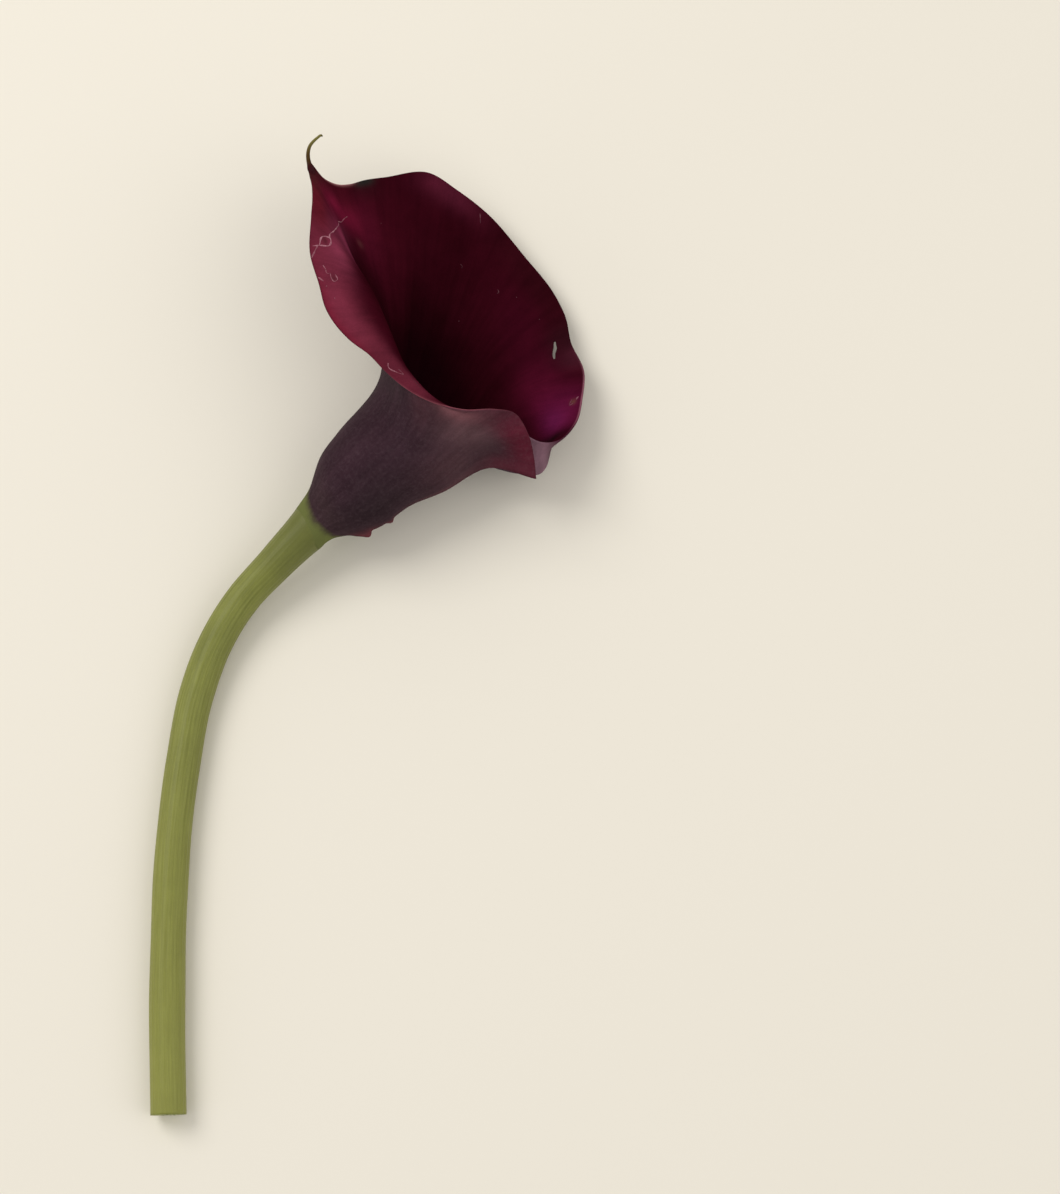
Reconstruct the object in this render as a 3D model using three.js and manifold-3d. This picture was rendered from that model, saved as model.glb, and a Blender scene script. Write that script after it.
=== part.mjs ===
// Calla lily flower: a cut stem, one rolled spathe and the spadix inside it, lying on a surface.
// Millimetres, +Z up. z = 0 is the surface; x = y = 0 is the middle of the flower's box.

import * as THREE from 'three';
import { mergeVertices } from 'three/addons/utils/BufferGeometryUtils.js';
import Module from 'manifold-3d';

const UP = new THREE.Vector3(0, 0, 1);
const GOLDEN_ANGLE = Math.PI * (3 - Math.sqrt(5));
const WELD_DISTANCE = 1e-5;

// The foot: where the stem ends and the spathe and the spadix begin.
const FOOT = new THREE.Vector3(-12.0, 29.1, 12.6);
const FOOT_HEADING = THREE.MathUtils.degToRad(45.75);
const FOOT_RISE = THREE.MathUtils.degToRad(6);
const FOOT_TILT = 0.36;
const FOOT_GAP = 0.6;

// The spathe's blade.
const BLADE_THICKNESS = 0.95;
const RIM_THICKNESS = 0.75;
const BLADE_ROWS = 21;
const COLUMN_SPACING = 3.7;
const COLUMNS_PER_SPAN = 2;
const FOOT_WRAP_START = THREE.MathUtils.degToRad(4);
const FOOT_WRAP_TURN = THREE.MathUtils.degToRad(408);
const LIP_SIDE_FROM = 0.05;
const LIP_SIDE_TO = 0.36;

// Rings of the tube above the foot: distance up the axis and radius (each on the lip's side, then
// on the back), shift towards the free margin, how evenly the ribs stand round it, half the step
// of the spiral where the margins overlap, and tilt.
const TUBE_RINGS = [
  { up: [0.7, 0.7], radius: [6.6, 6.6], shift: -1.03, even: 0.9, step: 0.8, tilt: FOOT_TILT },
  { up: [9, 9], radius: [11.35, 11.35], shift: 0.1, even: 0.7, step: 0.85, tilt: FOOT_TILT / 2 },
  { up: [18, 18], radius: [13.1, 13.1], shift: 0.9, even: 0.5, step: 0.9, tilt: 0 },
  { up: [26, 36], radius: [14.6, 16.2], shift: 2.4, even: 0.35, step: 1.2, tilt: 0 },
];

// Ribs of the blade, from the outer free margin round to the inner one. Each has its point on the
// rim and, nearer the foot, its point in the throat, where the blade turns out into the limb.
const RIBS = [
  [44.0, 36.4, 22.6, 30.7, 40.9, 16.6], // corner of the outer margin
  [43.4, 41.6, 26.6, 29.8, 43.2, 21.6],
  [41.9, 46.7, 30.6, 28.2, 44.8, 25.6],
  [38.5, 51.2, 33.6, 26.2, 46.2, 29.6], // outer margin, up to the near lip
  [33.1, 51.5, 36.6, 25.4, 47.8, 33.2],
  [25.6, 50.5, 39.1, 22.6, 49.3, 37.4], // near lip
  [19.0, 51.3, 41.1, 18.8, 52.0, 41.6],
  [11.8, 54.3, 42.6, 14.0, 55.4, 44.2],
  [4.8, 60.2, 42.6, 10.4, 60.2, 46.2], // lip rolled out
  [0.9, 64.3, 43.1, 8.4, 63.6, 47.4],
  [-4.0, 67.9, 43.6, 6.3, 68.4, 48.5],
  [-10.4, 76.6, 42.6, 3.4, 74.3, 48.1],
  [-12.4, 83.7, 41.6, 0.9, 79.9, 46.6], // kink in the lip
  [-15.0, 92.6, 39.6, -2.1, 86.5, 44.6],
  [-15.2, 104.7, 35.6, -5.1, 93.4, 38.6],
  [-15.2, 111.2, 32.9, -5.8, 96.0, 33.6],
  [-15.6, 115.2, 31.9, -5.9, 96.6, 31.9],
  [-16.4, 118.3, 31.5, -5.7, 97.0, 30.4],
  [-16.7, 120.3, 31.5, -5.5, 97.1, 29.5], // root of the tip
  [-16.1, 120.7, 31.5, -5.3, 97.1, 28.9],
  [-14.7, 119.2, 30.9, -5.1, 97.1, 28.1],
  [-12.7, 117.2, 29.9, -4.6, 97.3, 26.6],
  [-10.1, 116.3, 28.3, -3.4, 97.4, 24.3], // dip beside the tip
  [-5.8, 117.4, 24.6, -1.3, 97.7, 19.6],
  [-2.2, 119.3, 22.4, 0.7, 97.9, 17.1],
  [3.3, 121.2, 19.6, 4.5, 98.4, 12.7],
  [15.2, 124.2, 14.7, 12.4, 98.7, 6.7],
  [22.5, 120.7, 11.2, 17.8, 96.1, 4.2], // far edge of the limb
  [30.6, 115.1, 8.2, 22.7, 91.8, 1.6],
  [40.8, 103.5, 6.2, 28.2, 85.2, 0.9],
  [49.5, 91.9, 5.7, 32.0, 78.3, 1.0],
  [52.2, 85.8, 5.9, 33.9, 74.7, 1.4],
  [53.5, 78.8, 6.7, 35.9, 70.6, 2.0], // widest point
  [57.0, 70.0, 8.7, 38.6, 65.9, 2.6],
  [56.4, 61.6, 11.7, 42.1, 61.0, 2.9],
  [54.5, 53.5, 14.7, 45.4, 53.0, 3.6], // lobe of the inner margin
  [50.2, 48.3, 17.6, 47.2, 44.2, 6.4],
  [45.0, 46.9, 21.6, 43.2, 40.4, 11.2],
  [40.8, 48.3, 24.6, 33.6, 44.7, 17.8],
  [35.3, 50.0, 27.6, 25.1, 47.8, 24.6], // end of the inner margin, under the lip
];

// The outer margin is ruffled just above the foot.
const RUFFLE_HEIGHT = 0.9;
const RUFFLE_REACH = 0.02;
const RUFFLE_FROM = 0.06;
const RUFFLE_TO = 0.42;
const RUFFLE_WAVES = 2.5;

// The drawn-out tip, hooked at its end: centre line, and radius along it.
const TIP_LINE = [
  [-15.6, 118.6, 31.3],
  [-16.2, 120.2, 31.5],
  [-16.5, 121.6, 32.0],
  [-16.5, 123.2, 32.8],
  [-16.0, 124.8, 33.4],
  [-15.0, 125.9, 34.0],
  [-13.9, 126.7, 34.5],
  [-13.0, 127.2, 34.8],
  [-12.6, 127.1, 34.5],
];
const TIP_END_RADIUS = 0.31;
const TIP_TAPER = 0.36;
const TIP_SIDES = 10;
const TIP_RINGS = 20;

// A short tear through the limb near its far edge: its place, its size and its outline in parts of
// its length and width.
const TEAR = { column: 0.813, row: 0.945, length: 5.0, width: 0.8, depth: 6 };
const TEAR_OUTLINE = [[-0.5, 0], [-0.25, -0.42], [0.25, -0.5], [0.5, 0], [0.2, 0.5], [-0.3, 0.38]];

// The stem: centre line from the foot to the cut end.
const STEM_LINE = [
  [-12.7, 29.8, 12.7],
  [-17.4, 24.6, 11.6],
  [-25.3, 16.7, 9.4],
  [-33.9, 7.7, 6.8],
  [-41.2, -4.2, 5.1],
  [-46.0, -18.1, 4.2],
  [-49.0, -35.4, 4.05],
  [-50.9, -53.9, 4.05],
  [-51.7, -74.9, 4.05],
  [-51.6, -98.2, 4.05],
  [-50.5, -127.4, 4.05],
];
const STEM_RADIUS = 4.55;
const STEM_FLARE = 2.2;
const STEM_FLARE_REACH = 11;
const STEM_FLARE_POWER = 1.3;
const STEM_SIDES = 22;
const STEM_RINGS = 40;
const STEM_TILT_RINGS = 4;

// The spadix: a club standing on the stem's end, covered in florets set in a spiral.
const SPADIX_LENGTH = 33;
const SPADIX_RADIUS = 3.1;
const SPADIX_STALK_RADIUS = 2.3;
const SPADIX_STALK = 3.5;
const FLORET_PITCH = 1.75;
const FLORET_RELIEF = 0.38;
const FLORET_SPREAD = 0.62;
const SPADIX_TAPER_FROM = 0.6;
const SPADIX_TAPER = 0.25;
const SPADIX_ROUNDING = 6;
const SPADIX_END_SHARE = 0.004;
const SPADIX_TILT_RINGS = 3;
const SPADIX_SIDES = 34;
const SPADIX_RINGS = 34;

// Unit axis of the foot, the direction to the free margin across it, and the one upwards.
const axis = new THREE.Vector3(
  Math.cos(FOOT_RISE) * Math.cos(FOOT_HEADING),
  Math.cos(FOOT_RISE) * Math.sin(FOOT_HEADING),
  Math.sin(FOOT_RISE),
);
const across = new THREE.Vector3().crossVectors(axis, UP).normalize();
const above = new THREE.Vector3().crossVectors(across, axis);

function smoothStep(from, to, x) {
  return THREE.MathUtils.smoothstep(x, from, to);
}

// Running length along a list of points, scaled to end at 1.
function knotsAlong(points) {
  const knots = [0];
  for (let i = 1; i < points.length; i += 1) {
    knots.push(knots[i - 1] + points[i].distanceTo(points[i - 1]));
  }
  const total = knots[knots.length - 1];
  return knots.map((k) => k / total);
}

// Slope of a smooth curve at point i, from its neighbours.
function slopeAt(knots, points, i) {
  const last = points.length - 1;
  const slope = (j) => points[j + 1].clone().sub(points[j]).divideScalar(knots[j + 1] - knots[j]);
  if (i === 0) return slope(0);
  if (i === last) return slope(last - 1);
  const after = knots[i + 1] - knots[i];
  const before = knots[i] - knots[i - 1];
  return slope(i - 1).multiplyScalar(after).addScaledVector(slope(i), before)
    .divideScalar(after + before);
}

// Point at x on the smooth curve through the points.
function curvePoint(knots, points, x) {
  let i = 0;
  while (i < points.length - 2 && x >= knots[i + 1]) i += 1;
  const h = knots[i + 1] - knots[i];
  const t = (x - knots[i]) / h;
  return new THREE.Vector3()
    .addScaledVector(points[i], (1 + 2 * t) * (1 - t) ** 2)
    .addScaledVector(slopeAt(knots, points, i), h * t * (1 - t) ** 2)
    .addScaledVector(points[i + 1], t * t * (3 - 2 * t))
    .addScaledVector(slopeAt(knots, points, i + 1), h * t * t * (t - 1));
}

const rimPoints = RIBS.map((rib) => new THREE.Vector3(rib[0], rib[1], rib[2]));
const throatPoints = RIBS.map((rib) => new THREE.Vector3(rib[3], rib[4], rib[5]));
const ribKnots = knotsAlong(rimPoints);

// Places of the blade's columns along the rim: each span between two ribs is divided evenly.
function columnPlaces() {
  const places = [0];
  for (let k = 1; k < RIBS.length; k += 1) {
    const length = rimPoints[k].distanceTo(rimPoints[k - 1]);
    const parts = Math.max(COLUMNS_PER_SPAN, Math.round(length / COLUMN_SPACING));
    for (let i = 1; i <= parts; i += 1) {
      places.push(THREE.MathUtils.lerp(ribKnots[k - 1], ribKnots[k], i / parts));
    }
  }
  return places;
}

// Angle of a point round the foot's axis, from the free margin over the top.
function angleRoundAxis(point) {
  const offset = point.clone().sub(FOOT);
  return Math.atan2(offset.dot(above), offset.dot(across));
}

// Angles of the throat's points all the way round, without a jump.
function throatAngles(places) {
  const angles = [];
  places.forEach((s, i) => {
    const angle = angleRoundAxis(curvePoint(ribKnots, throatPoints, s));
    const turns = i > 0 ? Math.round((angles[i - 1] - angle) / (2 * Math.PI)) : 0;
    angles.push(angle + 2 * Math.PI * turns);
  });
  return angles;
}

// Point of one rib on a ring of the tube.
function tubePoint(ring, s, throatAngle) {
  const back = smoothStep(LIP_SIDE_FROM, LIP_SIDE_TO, s);
  const evenAngle = FOOT_WRAP_START + s * FOOT_WRAP_TURN;
  const angle = THREE.MathUtils.lerp(throatAngle, evenAngle, ring.even);
  const step = ring.step * (1 - 2 * s);
  const radius = THREE.MathUtils.lerp(ring.radius[0], ring.radius[1], back) + step;
  const sideways = radius * Math.cos(angle);
  const up = THREE.MathUtils.lerp(ring.up[0], ring.up[1], back) - ring.tilt * sideways;
  return FOOT.clone()
    .addScaledVector(axis, up)
    .addScaledVector(across, ring.shift + sideways)
    .addScaledVector(above, radius * Math.sin(angle));
}

// How far the free margin stands out at column s, row t.
function ruffle(s, t) {
  const along = (t - RUFFLE_FROM) / (RUFFLE_TO - RUFFLE_FROM);
  if (along <= 0 || along >= 1) return 0;
  const wave = Math.sin(Math.PI * along) * Math.sin(2 * Math.PI * RUFFLE_WAVES * along) ** 2;
  return RUFFLE_HEIGHT * wave * Math.exp(-s / RUFFLE_REACH);
}

// Middle surface of the blade: one row of points for each rib, foot first.
function bladeMiddle(places, rows) {
  const angles = throatAngles(places);
  return places.map((s, i) => {
    const rib = TUBE_RINGS.map((ring) => tubePoint(ring, s, angles[i]));
    rib.push(curvePoint(ribKnots, throatPoints, s), curvePoint(ribKnots, rimPoints, s));
    const knots = knotsAlong(rib);
    return Array.from({ length: rows + 1 }, (_, j) => curvePoint(knots, rib, j / rows)
      .addScaledVector(across, ruffle(s, j / rows)));
  });
}

// Unit normals of the grid, pointing out of the funnel.
function outwardNormals(grid) {
  const columns = grid.length - 1;
  const rows = grid[0].length - 1;
  return grid.map((line, i) => line.map((point, j) => {
    const alongRim = grid[Math.min(i + 1, columns)][j].clone().sub(grid[Math.max(i - 1, 0)][j]);
    const alongRib = grid[i][Math.min(j + 1, rows)].clone().sub(grid[i][Math.max(j - 1, 0)]);
    return alongRib.cross(alongRim).normalize();
  }));
}

// Closed solid between two faces of a grid, both split into triangles alike.
function sheetSolid(outer, inner) {
  const columns = outer.length - 1;
  const rows = outer[0].length - 1;
  const positions = [];
  const index = [];
  const at = (face, i, j) => (face * (columns + 1) + i) * (rows + 1) + j;
  [outer, inner].flat(2).forEach((p) => positions.push(p.x, p.y, p.z));
  const quad = (a, b, c, d) => index.push(a, b, c, a, c, d);
  for (let i = 0; i < columns; i += 1) {
    for (let j = 0; j < rows; j += 1) {
      index.push(at(0, i, j), at(0, i, j + 1), at(0, i + 1, j + 1));
      index.push(at(0, i, j), at(0, i + 1, j + 1), at(0, i + 1, j));
      index.push(at(1, i, j), at(1, i + 1, j + 1), at(1, i, j + 1));
      index.push(at(1, i, j), at(1, i + 1, j), at(1, i + 1, j + 1));
    }
    quad(at(0, i, 0), at(0, i + 1, 0), at(1, i + 1, 0), at(1, i, 0));
    quad(at(0, i, rows), at(1, i, rows), at(1, i + 1, rows), at(0, i + 1, rows));
  }
  for (let j = 0; j < rows; j += 1) {
    quad(at(0, 0, j), at(1, 0, j), at(1, 0, j + 1), at(0, 0, j + 1));
    quad(at(0, columns, j), at(0, columns, j + 1), at(1, columns, j + 1), at(1, columns, j));
  }
  return geometryFrom(positions, index);
}

// Closed solid from rings of points, with flat ends.
function ringSolid(rings) {
  const sides = rings[0].length;
  const positions = [];
  const index = [];
  rings.forEach((ring) => ring.forEach((p) => positions.push(p.x, p.y, p.z)));
  [rings[0], rings[rings.length - 1]].forEach((ring) => {
    const centre = ring.reduce((sum, p) => sum.add(p), new THREE.Vector3()).divideScalar(sides);
    positions.push(centre.x, centre.y, centre.z);
  });
  const start = rings.length * sides;
  for (let k = 0; k < sides; k += 1) {
    const next = (k + 1) % sides;
    for (let i = 0; i < rings.length - 1; i += 1) {
      const a = i * sides;
      const b = a + sides;
      index.push(a + k, b + k, b + next, a + k, b + next, a + next);
    }
    const end = (rings.length - 1) * sides;
    index.push(start, k, next, start + 1, end + next, end + k);
  }
  return geometryFrom(positions, index);
}

function geometryFrom(positions, index) {
  const geometry = new THREE.BufferGeometry();
  geometry.setAttribute('position', new THREE.Float32BufferAttribute(positions, 3));
  geometry.setIndex(index);
  if (enclosedVolume(geometry) < 0) {
    for (let i = 0; i < index.length; i += 3) {
      [index[i + 1], index[i + 2]] = [index[i + 2], index[i + 1]];
    }
    geometry.setIndex(index);
  }
  return geometry;
}

// Signed volume of a closed mesh: negative when its faces point inwards.
function enclosedVolume(geometry) {
  const p = geometry.attributes.position;
  const index = geometry.index;
  const corner = (i) => new THREE.Vector3().fromBufferAttribute(p, index.getX(i));
  let volume = 0;
  for (let i = 0; i < index.count; i += 3) {
    volume += corner(i).dot(corner(i + 1).cross(corner(i + 2))) / 6;
  }
  return volume;
}

// Presses what would reach below the surface flat on it.
function pressFlat(point) {
  return point.setZ(Math.max(point.z, 0));
}

const wasm = await Module();
wasm.setup();

function toManifold(geometry) {
  const merged = mergeVertices(geometry, WELD_DISTANCE);
  return new wasm.Manifold(new wasm.Mesh({
    numProp: 3,
    vertProperties: Float32Array.from(merged.attributes.position.array),
    triVerts: Uint32Array.from(merged.index.array),
  }));
}

function fromManifold(solid) {
  const mesh = solid.getMesh();
  return geometryFrom(Array.from(mesh.vertProperties), Array.from(mesh.triVerts));
}

// Rings round a centre line; radius is a function of the way along it.
function ringsAlong(points, ringCount, sides, radiusAt) {
  const knots = knotsAlong(points);
  const rings = [];
  for (let i = 0; i <= ringCount; i += 1) {
    const u = i / ringCount;
    const centre = curvePoint(knots, points, u);
    const step = 0.5 / ringCount;
    const tangent = curvePoint(knots, points, Math.min(u + step, 1))
      .sub(curvePoint(knots, points, Math.max(u - step, 0))).normalize();
    const side = new THREE.Vector3().crossVectors(tangent, UP).normalize();
    const over = new THREE.Vector3().crossVectors(side, tangent);
    const ring = [];
    for (let k = 0; k < sides; k += 1) {
      const angle = (2 * Math.PI * k) / sides;
      ring.push(centre.clone()
        .addScaledVector(side, radiusAt(u) * Math.cos(angle))
        .addScaledVector(over, radiusAt(u) * Math.sin(angle)));
    }
    rings.push(ring);
  }
  return rings;
}

function tipSolid() {
  const points = TIP_LINE.map((p) => new THREE.Vector3(...p));
  const radiusAt = (u) => TIP_END_RADIUS + TIP_TAPER * (1 - u);
  return ringSolid(ringsAlong(points, TIP_RINGS, TIP_SIDES, radiusAt));
}

// Thin lens-shaped cutter standing through the blade where it is torn.
function tearCutter(places, middle, normals) {
  const i = places.findIndex((s) => s >= TEAR.column);
  const j = Math.round(TEAR.row * BLADE_ROWS);
  const centre = middle[i][j];
  const normal = normals[i][j];
  const along = new THREE.Vector3(0, 1, 0).cross(normal).cross(normal).normalize();
  const width = new THREE.Vector3().crossVectors(along, normal);
  const ring = (depth) => TEAR_OUTLINE.map(([u, v]) => centre.clone()
    .addScaledVector(along, u * TEAR.length)
    .addScaledVector(width, v * TEAR.width)
    .addScaledVector(normal, depth));
  return ringSolid([ring(-TEAR.depth / 2), ring(TEAR.depth / 2)]);
}

function spatheGeometry() {
  const places = columnPlaces();
  const middle = bladeMiddle(places, BLADE_ROWS);
  const normals = outwardNormals(middle);
  const face = (side) => middle.map((line, i) => line.map((point, j) => {
    const half = THREE.MathUtils.lerp(BLADE_THICKNESS, RIM_THICKNESS, j / BLADE_ROWS) / 2;
    return pressFlat(point.clone().addScaledVector(normals[i][j], side * half));
  }));
  const blade = toManifold(sheetSolid(face(1), face(-1)));
  const tear = toManifold(tearCutter(places, middle, normals));
  return fromManifold(blade.add(toManifold(tipSolid())).subtract(tear));
}

function stemGeometry() {
  const points = STEM_LINE.map((p) => new THREE.Vector3(...p));
  const length = points.reduce((sum, p, i) => sum + (i ? p.distanceTo(points[i - 1]) : 0), 0);
  const radiusAt = (u) => STEM_RADIUS
    + STEM_FLARE * Math.exp(-(((u * length) / STEM_FLARE_REACH) ** STEM_FLARE_POWER));
  const rings = ringsAlong(points, STEM_RINGS, STEM_SIDES, radiusAt);
  rings.forEach((ring, i) => ring.forEach((point) => {
    const sideways = point.clone().sub(FOOT).dot(across);
    const fade = Math.max(0, 1 - i / STEM_TILT_RINGS);
    point.addScaledVector(axis, -fade * (FOOT_GAP + FOOT_TILT * sideways));
    pressFlat(point);
  }));
  return ringSolid(rings);
}

// Radius of the spadix's club, without florets, at height h above the foot.
function clubRadius(h) {
  const swell = smoothStep(0, SPADIX_STALK, h);
  const body = THREE.MathUtils.lerp(SPADIX_STALK_RADIUS, SPADIX_RADIUS, swell);
  const end = Math.max(0, (h / SPADIX_LENGTH - SPADIX_TAPER_FROM) / (1 - SPADIX_TAPER_FROM));
  const share = 1 - SPADIX_TAPER * end - (1 - SPADIX_TAPER) * end ** SPADIX_ROUNDING;
  return body * Math.sqrt(Math.max(SPADIX_END_SHARE, share));
}

// Florets up the club: each one turned by the golden angle from the last.
function floretCentres() {
  const perFloret = (FLORET_PITCH ** 2) / (2 * Math.PI * SPADIX_RADIUS);
  const count = Math.floor((SPADIX_LENGTH - SPADIX_STALK) / perFloret);
  return Array.from({ length: count }, (_, n) => ({
    height: SPADIX_STALK + n * perFloret,
    angle: n * GOLDEN_ANGLE,
  }));
}

function floretRelief(florets, height, angle) {
  let nearest = Infinity;
  florets.forEach((floret) => {
    const round = Math.atan2(Math.sin(angle - floret.angle), Math.cos(angle - floret.angle));
    const distance = Math.hypot(height - floret.height, round * SPADIX_RADIUS);
    nearest = Math.min(nearest, distance);
  });
  return FLORET_RELIEF * Math.max(0, 1 - (nearest / (FLORET_SPREAD * FLORET_PITCH)) ** 2);
}

function spadixGeometry() {
  const florets = floretCentres();
  const rings = [];
  for (let i = 0; i <= SPADIX_RINGS; i += 1) {
    const height = SPADIX_LENGTH * Math.sin((Math.PI / 2) * (i / SPADIX_RINGS));
    const ring = [];
    for (let k = 0; k < SPADIX_SIDES; k += 1) {
      const angle = (2 * Math.PI * k) / SPADIX_SIDES;
      const club = clubRadius(height);
      const relief = floretRelief(florets, height, angle) * Math.min(1, club / SPADIX_STALK_RADIUS);
      const radius = club + relief;
      const fade = Math.max(0, 1 - i / SPADIX_TILT_RINGS);
      const lift = -FOOT_TILT * fade * radius * Math.cos(angle);
      ring.push(new THREE.Vector3(radius * Math.cos(angle), radius * Math.sin(angle), height + lift));
    }
    rings.push(ring);
  }
  return ringSolid(rings);
}

function namedMesh(name, geometry, color, roughness) {
  const material = new THREE.MeshStandardMaterial({ color, roughness, metalness: 0 });
  const mesh = new THREE.Mesh(geometry, material);
  mesh.name = name;
  return mesh;
}

const calla = new THREE.Group();
calla.name = 'calla_lily_flower';
calla.add(namedMesh('stem', stemGeometry(), '#7f8250', 0.5));
calla.add(namedMesh('spathe', spatheGeometry(), '#4a1c30', 0.45));

// The spadix stands in a frame of its own on the foot, its Z along the foot's axis.
const footFrame = new THREE.Group();
footFrame.position.copy(FOOT).addScaledVector(axis, FOOT_GAP);
footFrame.quaternion.setFromRotationMatrix(
  new THREE.Matrix4().makeBasis(across, above.clone().negate(), axis),
);
footFrame.add(namedMesh('spadix', spadixGeometry(), '#8a5a52', 0.7));
calla.add(footFrame);

export default calla;
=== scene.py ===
"""Dresses a cut calla lily: a rolled spathe, the spadix inside it and a curved stem, lying down."""

import logging
import math
from dataclasses import dataclass
from enum import Enum
from typing import Dict, List, Optional, Sequence, Tuple

import bmesh
import bpy
import numpy as np
from mathutils import Matrix, Vector, kdtree


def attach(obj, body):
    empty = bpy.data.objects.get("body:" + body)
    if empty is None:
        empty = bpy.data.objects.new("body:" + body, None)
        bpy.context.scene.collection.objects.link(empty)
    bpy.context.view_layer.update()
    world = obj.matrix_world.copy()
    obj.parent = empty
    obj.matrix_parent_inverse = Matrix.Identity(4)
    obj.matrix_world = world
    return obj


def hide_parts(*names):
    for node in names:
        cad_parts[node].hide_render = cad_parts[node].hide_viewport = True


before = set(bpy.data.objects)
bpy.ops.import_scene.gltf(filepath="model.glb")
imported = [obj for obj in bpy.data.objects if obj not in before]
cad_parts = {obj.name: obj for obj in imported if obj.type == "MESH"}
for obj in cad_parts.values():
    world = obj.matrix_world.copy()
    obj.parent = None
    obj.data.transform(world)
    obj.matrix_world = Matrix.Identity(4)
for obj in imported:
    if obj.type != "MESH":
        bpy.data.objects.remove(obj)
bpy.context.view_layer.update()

logging.basicConfig(level=logging.INFO, format="%(name)s: %(message)s")
log = logging.getLogger("calla")

MM = 0.001
BODY = "root"
UP = np.array([0.0, 0.0, 1.0])
TURN = 2 * math.pi
NEARLY_ZERO = 1e-9

Array = np.ndarray
Piece = bpy.types.Object
Material = bpy.types.Material
Tree = bpy.types.NodeTree
Node = bpy.types.Node
Socket = bpy.types.NodeSocket
Colour = Tuple[float, float, float]
Place = Tuple[float, float]
Spot = Tuple[float, float, float]

# Ribs of the blade in mm, from the outer free margin round to the inner one: the point on the rim,
# then the point in the throat, where the blade turns out into the limb.
RIBS = np.array(
    (
        (44.0, 36.4, 22.6, 30.7, 40.9, 16.6),  # corner of the outer margin
        (43.4, 41.6, 26.6, 29.8, 43.2, 21.6),
        (41.9, 46.7, 30.6, 28.2, 44.8, 25.6),
        (38.5, 51.2, 33.6, 26.2, 46.2, 29.6),  # outer margin, up to the near lip
        (33.1, 51.5, 36.6, 25.4, 47.8, 33.2),
        (25.6, 50.5, 39.1, 22.6, 49.3, 37.4),  # near lip
        (19.0, 51.3, 41.1, 18.8, 52.0, 41.6),
        (11.8, 54.3, 42.6, 14.0, 55.4, 44.2),
        (4.8, 60.2, 42.6, 10.4, 60.2, 46.2),  # lip rolled out
        (0.9, 64.3, 43.1, 8.4, 63.6, 47.4),
        (-4.0, 67.9, 43.6, 6.3, 68.4, 48.5),
        (-10.4, 76.6, 42.6, 3.4, 74.3, 48.1),
        (-12.4, 83.7, 41.6, 0.9, 79.9, 46.6),  # kink in the lip
        (-15.0, 92.6, 39.6, -2.1, 86.5, 44.6),
        (-15.2, 104.7, 35.6, -5.1, 93.4, 38.6),
        (-15.2, 111.2, 32.9, -5.8, 96.0, 33.6),
        (-15.6, 115.2, 31.9, -5.9, 96.6, 31.9),
        (-16.4, 118.3, 31.5, -5.7, 97.0, 30.4),
        (-16.7, 120.3, 31.5, -5.5, 97.1, 29.5),  # root of the tip
        (-16.1, 120.7, 31.5, -5.3, 97.1, 28.9),
        (-14.7, 119.2, 30.9, -5.1, 97.1, 28.1),
        (-12.7, 117.2, 29.9, -4.6, 97.3, 26.6),
        (-10.1, 116.3, 28.3, -3.4, 97.4, 24.3),  # dip beside the tip
        (-5.8, 117.4, 24.6, -1.3, 97.7, 19.6),
        (-2.2, 119.3, 22.4, 0.7, 97.9, 17.1),
        (3.3, 121.2, 19.6, 4.5, 98.4, 12.7),
        (15.2, 124.2, 14.7, 12.4, 98.7, 6.7),
        (22.5, 120.7, 11.2, 17.8, 96.1, 4.2),  # far edge of the limb
        (30.6, 115.1, 8.2, 22.7, 91.8, 1.6),
        (40.8, 103.5, 6.2, 28.2, 85.2, 0.9),
        (49.5, 91.9, 5.7, 32.0, 78.3, 1.0),
        (52.2, 85.8, 5.9, 33.9, 74.7, 1.4),
        (53.5, 78.8, 6.7, 35.9, 70.6, 2.0),  # widest point
        (57.0, 70.0, 8.7, 38.6, 65.9, 2.6),
        (56.4, 61.6, 11.7, 42.1, 61.0, 2.9),
        (54.5, 53.5, 14.7, 45.4, 53.0, 3.6),  # lobe of the inner margin
        (50.2, 48.3, 17.6, 47.2, 44.2, 6.4),
        (45.0, 46.9, 21.6, 43.2, 40.4, 11.2),
        (40.8, 48.3, 24.6, 33.6, 44.7, 17.8),
        (35.3, 50.0, 27.6, 25.1, 47.8, 24.6),  # end of the inner margin, under the lip
    )
)

# Number of the rib that runs out into the tip.
TIP_RIB = 18

# Centre line of the drawn-out tip, in mm.
TIP_LINE = np.array(
    (
        (-15.6, 118.6, 31.3),
        (-16.2, 120.2, 31.5),
        (-16.5, 121.6, 32.0),
        (-16.5, 123.2, 32.8),
        (-16.0, 124.8, 33.4),
        (-15.0, 125.9, 34.0),
        (-13.9, 126.7, 34.5),
        (-13.0, 127.2, 34.8),
        (-12.6, 127.1, 34.5),
    )
)

# Centre line of the stem from the foot to the cut end, in mm.
STEM_LINE = np.array(
    (
        (-12.7, 29.8, 12.7),
        (-17.4, 24.6, 11.6),
        (-25.3, 16.7, 9.4),
        (-33.9, 7.7, 6.8),
        (-41.2, -4.2, 5.1),
        (-46.0, -18.1, 4.2),
        (-49.0, -35.4, 4.05),
        (-50.9, -53.9, 4.05),
        (-51.7, -74.9, 4.05),
        (-51.6, -98.2, 4.05),
        (-50.5, -127.4, 4.05),
    )
)


class Face(Enum):
    """The two faces of the spathe's blade."""

    OUTER = 0
    INNER = 1


# --- small geometry -------------------------------------------------------------------------


def unit(vectors: Array) -> Array:
    """Scales vectors to length 1."""
    length = np.linalg.norm(vectors, axis=-1, keepdims=True)
    return vectors / np.maximum(length, NEARLY_ZERO)


def smooth_step(low: float, high: float, x: Array) -> Array:
    """Eases from 0 at low to 1 at high."""
    share = np.clip((x - low) / (high - low), 0.0, 1.0)
    return share * share * (3.0 - 2.0 * share)


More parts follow.
